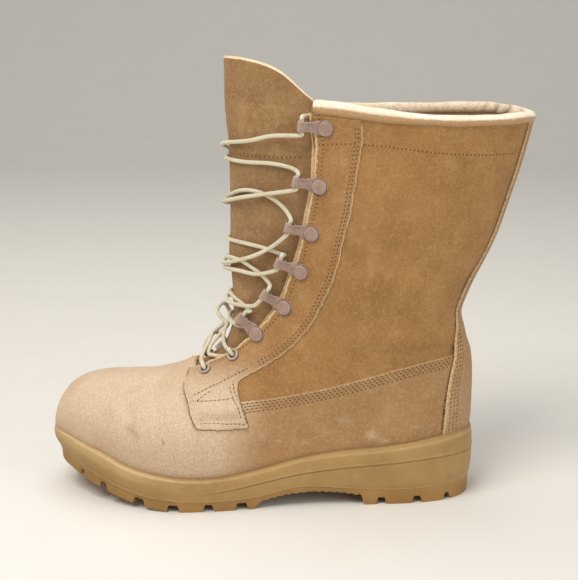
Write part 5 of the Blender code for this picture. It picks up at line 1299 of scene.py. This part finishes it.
def makeOutsole(loop, normal):
    # the edge wall drops from the tread line to the lugs' feet; the underside is a height over the plan
    x = loop[:, 0]
    base = soleWall(0.0, sideLine("toe", x))

    def bottomAt(plan, away):
        px, py = plan[..., 0], plan[..., 1]
        cut = treadPattern(px, py, loop, normal, away)
        teeth = 1.1 * np.abs(np.mod(px / 5.5, 1.0) - 0.5) * 2
        arch = lookUp(sole["waist"], px)
        arch = arch - teeth * (arch > 6.0) * (away < 5.0)
        return groundHeight(px) + np.maximum(cut * sole["lugDepth"], arch)

    more, drop, worn = np.array(sole["rim"]).T[:, :, None]
    plan = loop + normal * (base + more)[..., None]
    top = sideLine("tread", x) + 0.35
    rings = np.dstack([plan, top + (bottomAt(plan, 0.0) - top) * drop])
    # painted shade darkening down the edge towards the lugs' feet
    wall = sheet(rings, True, True, soil=0.25 * drop, worn=worn)
    foot = loop + normal * (base - 0.25)[:, None]
    count = sole["points"] // 2
    lateral, medial = foot[:count + 1], np.vstack([foot[:1], foot[:count - 1:-1]])
    plan = lateral[:, None, :] + (medial - lateral)[:, None, :] * np.linspace(0, 1, 110)[None, :, None]
    away = outlineDistance(plan.reshape(-1, 2), foot)[0].reshape(plan.shape[:2])
    z = bottomAt(plan, away)
    # painted shade in the deep cuts between the lugs; their faces paler with wear
    deep = smoothStep(z - groundHeight(plan[..., 0]), 1.0, 5.0)
    under = sheet(np.dstack([plan, z]), True, soil=0.1 + 0.45 * deep, worn=0.3 * (1 - deep))
    makePiece("lugOutsole", [wall, under], treadRubber, ("outsole",), smoothAngle=32)


def makeInsole():
    # a dished footbed that follows the last's bottom, a little above it
    rows = fineRows(2.2, 18.6, 3.0)[:, None]
    s = station(rows)
    parts = []
    for side in (1, -1):
        start = angleAtHalfWidth(rows, 0.86 * np.minimum(s["lateral"], s["medial"]), side, front=False)
        angles = side * (start + (math.pi - start) * np.linspace(0, 1, 30))
        parts.append(sheet(lastPlace(rows, angles) - lastNormal(rows, angles) * 4.6, side > 0))
    makePiece("footbed", parts, insoleCloth, ("insole",), smoothAngle=180)


loop, loopNormal = makeMidsole()
makeOutsole(loop, loopNormal)
makeInsole()
print("sole and footbed made")


stitch = {"pitch": 3.0, "long": 1.8, "wide": 0.62, "high": 0.24, "hole": 0.6, "lift": boot["overlay"] + 0.12,
          "panelDrops": (1.5, 3.5, 5.5, 7.5), "eyestayInsets": (2.6, 4.8)}
threads, holes, crevices = [], [], []


def sewn(places, normals, pitch=None, jitter=0.08):
    # stitches as low domes set along a line, with a dark disc at each end painted as the shade in its needle
    # hole
    packed = np.hstack([places, normals])
    length = np.linalg.norm(np.diff(places, axis=0), axis=1).sum()
    count = max(int(length / (pitch or stitch["pitch"])), 2)
    packed = alongPath(packed, count=count * 2 + 1)
    place, normal = packed[1::2, :3], unit(packed[1::2, 3:])
    ends, endNormal = packed[0::2, :3], unit(packed[0::2, 3:])
    along = unit(packed[2::2, :3] - packed[:-1:2, :3])
    side = unit(np.cross(normal, along))
    wobble = np.sin(np.arange(len(place)) * 12.9898 + place[:, 0]) * jitter
    s, t = np.meshgrid(np.linspace(-1, 1, 5), np.linspace(0, math.pi, 5), indexing="ij")
    fat = np.sqrt(np.clip(1 - s ** 2 * 0.85, 0, 1))
    u = s * stitch["long"] / 2
    v, w = np.cos(t) * fat * stitch["wide"] / 2, (np.sin(t) * fat - 0.35) * stitch["high"]
    dome = (place[:, None, None] + along[:, None, None] * u[..., None] + side[:, None, None]
            * (v + wobble[:, None, None])[..., None] + normal[:, None, None] * w[..., None])
    quads = gridFaces(5, 5, flip=True)
    index = (np.arange(len(place)) * 25)[:, None, None]
    threads.append((dome.reshape(-1, 3), (quads[None] + index).reshape(-1, 4), {}))
    along = unit(np.gradient(ends, axis=0))
    side = unit(np.cross(endNormal, along))
    turn = np.linspace(0, 2 * math.pi, 8, endpoint=False)
    rim = (ends[:, None] + along[:, None] * (np.cos(turn) * stitch["hole"] * 1.05)[:, None]
           + side[:, None] * (np.sin(turn) * stitch["hole"] * 0.85)[:, None] + endNormal[:, None] * 0.06)
    index = (np.arange(len(ends)) * 8)[:, None]
    holes.append((rim.reshape(-1, 3), index + np.arange(8)[None], {}))


def sewnThrough(xz, side, surface=None, height=None, pitch=None):
    # a row of stitches through side-view points, on the eyestay unless another surface is named
    path = alongPath(smoothPath(xz), 1.0)
    row, angle = findOnLast(path[:, 0], path[:, 1], side)
    place = (surface or onEyestay)(row, angle, stitch["lift"] if height is None else height)
    sewn(place, lastNormal(row, angle), pitch)


def crevice(places, further):
    # a narrow dark ribbon between two lines, the shadow that gathers beside a laid-on piece
    band = np.stack([places, further])
    faces = gridFaces(2, band.shape[1])
    crevices.append((band.reshape(-1, 3), np.vstack([faces, faces[:, ::-1]]), {}))


tabRows = [
    [(168.5, 102.8), (172.0, 101.0), (181.0, 96.5), (192.0, 91.0), (203.0, 85.9), (211.8, 82.2)],
    [(196.1, 86.4), (200.7, 83.7), (204.4, 81.1)],
    [(179.3, 83.0), (185.0, 82.0), (191.7, 81.4), (202.8, 80.6), (210.6, 81.0)],
    [(171.0, 65.4), (176.0, 65.9), (184.0, 66.0), (195.0, 66.9), (205.0, 66.2)],
    [(209.7, 79.5), (208.6, 76.5), (207.2, 73.5), (204.9, 67.8)],
    [(178.7, 92.0), (178.0, 88.0), (175.2, 82.8), (172.7, 77.3), (170.8, 71.7), (169.2, 66.6)],
    [(181.0, 90.0), (180.0, 86.0), (178.1, 81.7), (175.2, 76.0), (173.5, 70.4)],
    [(211.9, 84.0), (212.6, 87.8), (212.7, 91.3), (212.5, 94.8), (211.0, 97.6)]]


def sewPanel(side):
    # four rows below the lower panel's top edge, every other one half a pitch along
    seamRows = np.linspace(13.55, 20.85, 150)
    for drop in stitch["panelDrops"]:
        place = lastPlace(seamRows, side * seamAngle(seamRows, side))
        row, angle = findOnLast(place[:, 0], place[:, 2] - drop, side)
        behind = backstayEdge(place[:, 2]) * (place[:, 0] < 30) - 0.5
        keep = (place[:, 0] < 173.5) & (np.abs(place[:, 1]) > behind)
        line = np.hstack([onLast(row, angle, boot["panelStep"] + 0.1), lastNormal(row, angle)])
        line = alongPath(line[keep], 0.825)
        line = line[2:-2] if drop in stitch["panelDrops"][1::2] else line
        sewn(line[:, :3], line[:, 3:], 3.3)


def eyestayCrevices(side):
    # shadow beside the eyestay: a wide ribbon round the tab, a narrow one up its front
    outline = eyestayOutline(side)
    inward = 1.0 if outlineDistance(movedIn(outline, 1.0)[:1], outline)[1][0] else -1.0
    for top, out in ((92, 0.5), (262, 0.22)):
        pick = np.where((outline[:, 0] > 95) & (outline[:, 1] < top))[0]
        for run in np.split(pick, np.where(np.diff(pick) > 1)[0] + 1):
            if len(run) > 8:
                lines = outline[run], movedIn(outline, -out * inward)[run]
                crevice(*[onEyestay(*findOnLast(line[:, 0], line[:, 1], side), 0.13) for line in lines])


def sewAll():
    # every seam on both sides, the ribbons of shadow, then one row across the tongue
    for side in (1, -1):
        rear = smoothPath(eyestay["rear"])
        rear = alongPath(rear[rear[:, 1] < (284.0 if side > 0 else 280.0)], 3.0)
        for inset in stitch["eyestayInsets"]:
            sewnThrough(movedIn(rear, inset, closed=False)[1:], side)
        rows = np.linspace(11.9, 29.3, 90)
        at = side * (throatEdge(rows, side) + 2.9 / boot["shaftRadius"])
        sewn(onEyestay(rows, at, stitch["lift"]), lastNormal(rows, at))
        for tabRow in tabRows:
            sewnThrough(tabRow, side)
        sewPanel(side)
        zs = np.linspace(56.0, 280.0, 200)
        for inset, top in ((1.5, 300.0), (3.2, 130.0), (4.9, 124.0)):
            place, normal = onBackstay(side * (backstayEdge(zs) - inset), zs, stitch["lift"])
            sewn(place[zs < top], normal[zs < top])
        crevice(*[onBackstay(side * (backstayEdge(zs) + out), zs, 0.14)[0] for out in (-0.2, 0.7)])
        eyestayCrevices(side)
        sewnThrough([(85.0, 269.6), (65.2, 268.0), (32.2, 263.8), (-1.4, 261.7), (-21.5, 261.2)], side,
                    onLast, 0.08, 2.9)
        sewnThrough([(116.0, 269.4), (104.0, 270.2), (92.0, 270.4)], side, pitch=2.9)
    across = np.linspace(-0.95, 0.95, 80)
    z = 260.5 - 1.5 * np.abs(across)
    sewn(onTongue(across, z, 0.9), tongueNormal(tongueRow(across, z), across), 3.1)
    for name, parts, material in (("seamThreads", threads, threadTan), ("needleHoles", holes, needleHoleShade),
                                  ("edgeCrevices", crevices, creviceShade)):
        makePiece(name, parts, material, weld=False, smoothAngle=180)


def fray():
    # loose fibres along the cut edges: eyestays, throat, ankle seam, backstay and tongue top
    random = np.random.default_rng(11)

    def edged(places, outward, count, reach, along=None, radius=0.07):
        along = unit(np.gradient(places, axis=0)) if along is None else along
        pick = random.integers(1, len(places) - 1, count)
        shift = random.uniform(-0.5, 0.5, (count, 1))
        start = places[pick] + (places[pick + 1] - places[pick - 1]) * shift
        fibres.append(fibreMesh(start, outward[pick], along[pick], reach, radius, random))

    def upright(flat):
        # side-view directions as directions in space
        return np.stack([flat[:, 0], np.zeros(len(flat)), flat[:, 1]], axis=1)

    for side in (1, -1):
        outline = alongPath(smoothPath(eyestayOutline(side), 2), 1.2)
        row, angle = findOnLast(outline[:, 0], outline[:, 1], side)
        places, normal = onEyestay(row, angle, boot["overlay"] * 0.75), lastNormal(row, angle)
        away = upright(outline - movedIn(outline, 2.0, closed=False))
        away = unit(away - normal * np.sum(away * normal, axis=1, keepdims=True))
        along = upright(unit(np.gradient(outline, axis=0)))
        edged(places, unit(away + normal * 0.6), 900, (0.4, 1.2), along)
        edged(places, unit(away + normal * 0.8), 50, (1.4, 3.2), along, 0.05)
        rows = np.linspace(14.0, 29.0, 400)
        throat = side * throatEdge(rows, side)
        places, normal = onLast(rows, throat, -1.6), lastNormal(rows, throat)
        ahead = unit(lastPlace(rows, throat - side * 0.02) - lastPlace(rows, throat))
        edged(places, unit(ahead + normal * 0.2), 900, (0.4, 1.1))
        rows = np.linspace(13.6, 20.8, 260)
        seam = side * seamAngle(rows, side)
        places, normal = onLast(rows, seam, boot["panelStep"] * 0.7), lastNormal(rows, seam)
        ahead = unit(lastPlace(rows, seam - side * 0.02) - lastPlace(rows, seam))
        keep = (places[:, 0] < 174) & (places[:, 0] > 2)
        along = unit(np.gradient(places, axis=0))[keep]
        edged(places[keep], unit(ahead + normal * 0.5)[keep], 500, (0.4, 1.2), along)
        zs = np.linspace(58.0, 280.0, 260)
        places, normal = onBackstay(side * backstayEdge(zs), zs, boot["overlay"] * 0.8)
        edged(places, unit(normal + [0.4, 0.5 * side, 0]), 700, (0.4, 1.2))
    across = np.linspace(-1.15, 1.15, 300)
    row = tongueRow(across, lookUp(tongue["top"], across) - 0.4)
    places, normal = tonguePlace(row, across), tongueNormal(row, across)
    edged(places, unit(normal * 0.3 + [0, 0, 1.0]), 500, (0.4, 1.0))
    for name, parts, material in (("looseFibres", fibres, looseFibre), ("pileFibres", pile, pileFibre)):
        makePiece(name, parts, material, weld=False, smoothAngle=180)


sewAll()
fray()
print("seams sewn and edges frayed")


lace = {
    "radius": 1.5, "sides": 20, "spacing": 0.8, "high": 4.7, "low": 1.7, "lowEnds": 3.4,
    # crossings from the outer side to the inner: share across the tongue and height
    "over": [[(0.74, 274.0), (0.55, 271.0), (0.03, 266.0), (-0.45, 257.0), (-0.86, 247.0)],
             [(0.65, 232.5), (0.43, 229.0), (0.02, 223.0), (-0.45, 218.0), (-0.86, 214.0)],
             [(0.76, 193.5), (0.58, 185.5), (0.08, 178.0), (-0.4, 180.5), (-0.86, 186.0)],
             [(0.70, 173.5), (0.49, 175.0), (0.05, 174.0), (-0.45, 169.0), (-0.86, 163.0)],
             [(0.73, 149.0), (0.35, 149.0), (0.06, 151.5), (-0.4, 148.0), (-0.8, 143.0)]],
    "below": [[(0.88, 252.5), (0.73, 255.0), (0.49, 255.0), (0.2, 255.5), (0.0, 256.5), (-0.45, 260.0),
               (-0.86, 265.0)],
              [(0.86, 222.5), (0.76, 229.5), (0.62, 234.0), (0.43, 234.0), (0.03, 227.0), (-0.45, 227.0),
               (-0.86, 230.0)],
              [(0.88, 188.5), (0.70, 193.0), (0.52, 195.0), (0.02, 195.5), (-0.45, 197.0), (-0.86, 199.5)],
              [(0.83, 166.5), (0.74, 172.5), (0.62, 177.5), (0.47, 182.0), (0.06, 182.5), (-0.45, 179.0),
               (-0.86, 174.0)],
              [(0.74, 144.5), (0.64, 147.5), (0.18, 154.0), (-0.2, 154.5), (-0.6, 152.0), (-0.86, 149.5)]],
    # loose bights at the throat's foot: from the sixth hooks, and between the eyelets
    "outerSixth": [(172.6, 14.5, 131.3), (179.0, 10.5, 133.5), (182.6, 6.0, 136.0), (182.3, 1.0, 138.0),
                   (180.0, -6.0, 137.0), (177.0, -13.0, 130.0), (178.5, -16.5, 121.0)],
    "innerSixth": [(176.5, -16.5, 126.0), (180.0, -18.0, 128.5), (183.5, -16.0, 136.0), (186.4, -12.0, 142.3),
                   (190.0, -8.0, 142.0), (191.8, -4.0, 138.0), (188.0, -1.0, 133.5), (184.6, 2.0, 130.0),
                   (186.7, 5.0, 124.3), (186.6, 9.0, 117.7), (183.5, 14.0, 113.0)],
    "outerFoot": [(203.3, 14.0, 106.0), (201.7, 10.0, 111.0), (197.6, 4.0, 117.7), (195.4, -2.0, 122.3),
                  (192.0, -8.0, 120.0), (187.0, -12.5, 113.5)],
    "innerFoot": [(203.0, -13.5, 105.5), (200.0, -11.0, 113.0), (193.0, -7.0, 122.5), (185.5, -3.5, 129.0),
                  (184.0, -0.5, 128.5), (189.7, 3.0, 122.0), (195.7, 6.5, 115.5), (198.0, 9.5, 109.0)],
    # points in the frames of a hook and an eyelet that the cord passes through
    "channel": [(0.6, 6.6, -0.5), (0.2, 3.4, -0.1), (0.0, 0.0, 0.1), (0.2, -3.4, -0.1), (0.6, -6.6, -0.5)],
    "eyelet": [(4.2, 0.4, 3.1), (1.8, 0.1, 2.9), (0.2, 0.0, 1.0), (0.0, 0.0, -4.0)],
    "beneath": [(1.5, 2.0, -5.4), (5.0, 8.0, -5.2), (9.0, 14.0, -3.6)],
}


def hookChannel(side, k):
    # the lace's way down through a hook, under its arm
    frameOf = hookFrames[side][k]
    bend = hook["reach"] - hook["channel"] / 2 - hook["metal"]
    middle = hook["rise"] + hook["metal"] + hook["channel"] / 2
    sense = 1.0 if frameOf[1][1][2] > 0 else -1.0
    return list(inFrame(np.array(lace["channel"]) * (1, sense, 1) + (bend, 0, middle), frameOf))


def crossing(kind, k):
    # one crossing as places over the tongue, from the outer side to the inner
    across, z = np.array(lace[kind][k]).T
    low = lace["low"] + (lace["lowEnds"] - lace["low"]) * smoothStep(np.abs(across), 0.55, 0.85)
    return list(onTongue(across, z, np.full(len(z), lace["high"]) if kind == "over" else low))


def throughEyelet(side, k):
    # from over the flange down through the leather
    return list(inFrame(lace["eyelet"], eyeletFrames[side][k]))


def underEdge(side):
    # inside the leather from the upper eyelet towards the lower, to come out under the throat's edge
    frameOf, other = eyeletFrames[side]
    sense = np.sign(np.dot(other[0] - frameOf[0], frameOf[1][1]))
    return list(inFrame(np.array(lace["beneath"]) * (1, sense, 1), frameOf))


def cordMesh(points):
    # a round cord swept along a smooth path, its frame carried on without twist, its ends rounded
    path = alongPath(smoothPath(points, 16), lace["spacing"])
    along = unit(np.gradient(path, axis=0))
    side = np.empty_like(along)
    side[0] = unit(np.cross(along[0], [0.3, 0.2, 1.0]))
    for k in range(1, len(path)):
        side[k] = unit(side[k - 1] - along[k] * np.dot(side[k - 1], along[k]))
    up = np.cross(along, side)
    turn = np.linspace(0, 2 * math.pi, lace["sides"] + 1)
    length = runLength(path)[:, None]
    radius = lace["radius"] * np.maximum(rounded(np.minimum(length, length[-1] - length), 1.2), 0.02)
    ring = (path[:, None] + side[:, None] * (np.cos(turn) * radius)[..., None]
            + up[:, None] * (np.sin(turn) * radius)[..., None])
    return sheet(ring, True, along=length, around=turn), length[-1, 0]


def makeLace():
    # both halves run from behind the collar down the hooks, zigzag, to loose bights and the eyelets
    parts, total = [], 0.0
    for first in (1, -1):
        points = list(onTongue(np.array([1.0, 0.97]) * first, [289.0, 288.0], [0.4, 1.7]))
        side = first
        for k in range(5):
            points += hookChannel(side, k) + (crossing("over", k) if side > 0 else crossing("below", k)[::-1])
            side = -side
        name = "outer" if side > 0 else "inner"
        points += hookChannel(side, 5) + [np.array(p) for p in lace[name + "Sixth"]]
        points += throughEyelet(-side, 0) + underEdge(-side)
        points += [np.array(p) for p in lace[name + "Foot"][::-1]] + throughEyelet(side, 1)
        part, length = cordMesh(points)
        parts.append(part)
        total += length
    makePiece("bootLace", parts, laceBraid, ("lace",), weld=False, smoothAngle=180)
    print("lace", round(total), "mm")


makeLace()


def makeStage():
    # pale floor that curves up behind
    bend = np.linspace(0.1, math.pi / 2, 12)
    y = np.concatenate([np.linspace(3.0, -1.6, 24), -1.6 - 1.2 * np.sin(bend), np.full(6, -2.8)])[:, None]
    z = np.concatenate([np.zeros(24), 1.2 - 1.2 * np.cos(bend), np.linspace(1.5, 4, 6)])[:, None]
    points = np.stack(np.broadcast_arrays(np.linspace(-4, 4, 9), y, z), axis=-1)
    mesh = bpy.data.meshes.new("floor")
    mesh.from_pydata(points.reshape(-1, 3).tolist(), [], gridFaces(len(y), 9).tolist())
    mesh.shade_smooth()
    floor = bpy.data.objects.new("floor", mesh)
    bpy.context.scene.collection.objects.link(floor)
    f = Finish("paleFloor", Roughness=0.9, Specular_IOR_Level=0.1)
    mesh.materials.append(f.done(f.mix(f.noise(60.0), (228, 225, 219), (232, 229, 223))))


lights = {     # place, power, size, colour
    "key": ((0.55, 0.75, 1.45), 19.3, 0.9, (1.0, 0.97, 0.92)),
    "fill": ((-1.4, 1.2, 0.6), 10.5, 1.2, (0.96, 0.98, 1.0)),
    "above": ((0.2, -0.3, 1.7), 8.5, 1.2, (1.0, 0.98, 0.95)),
}
sky = {"colour": (1.0, 0.98, 0.95, 1), "strength": 0.38}


def makeLights():
    # a large soft key, a low fill and a light above, each turned to the boot, and a soft sky
    for name, (place, power, size, colour) in lights.items():
        light = bpy.data.lights.new(name, "AREA")
        light.energy, light.size, light.color = power, size, colour
        thing = bpy.data.objects.new(name, light)
        thing.location = place
        thing.rotation_euler = (Vector((0, 0, 0.12)) - Vector(place)).to_track_quat("-Z", "Y").to_euler()
        bpy.context.scene.collection.objects.link(thing)
    world = bpy.data.worlds.new("studio")
    world.use_nodes = True
    background = world.node_tree.nodes["Background"].inputs
    background["Color"].default_value, background["Strength"].default_value = sky["colour"], sky["strength"]
    bpy.context.scene.world = world
    bpy.context.scene.view_settings.view_transform = "Standard"


view = {"lens": 78.3, "place": (-0.0027, 0.9086, 0.390), "down": 14.43}


def makeCamera():
    # level from the outer side, tipped down by some degrees
    camera = bpy.data.cameras.new("camera")
    camera.lens, camera.sensor_width, camera.sensor_fit = view["lens"], 36.0, "HORIZONTAL"
    thing = bpy.data.objects.new("camera", camera)
    thing.location = view["place"]
    thing.rotation_euler = (math.radians(90 - view["down"]), 0, math.radians(180))
    bpy.context.scene.collection.objects.link(thing)
    bpy.context.scene.camera = thing


makeStage()
makeLights()
makeCamera()
print("stage, lights and camera set")
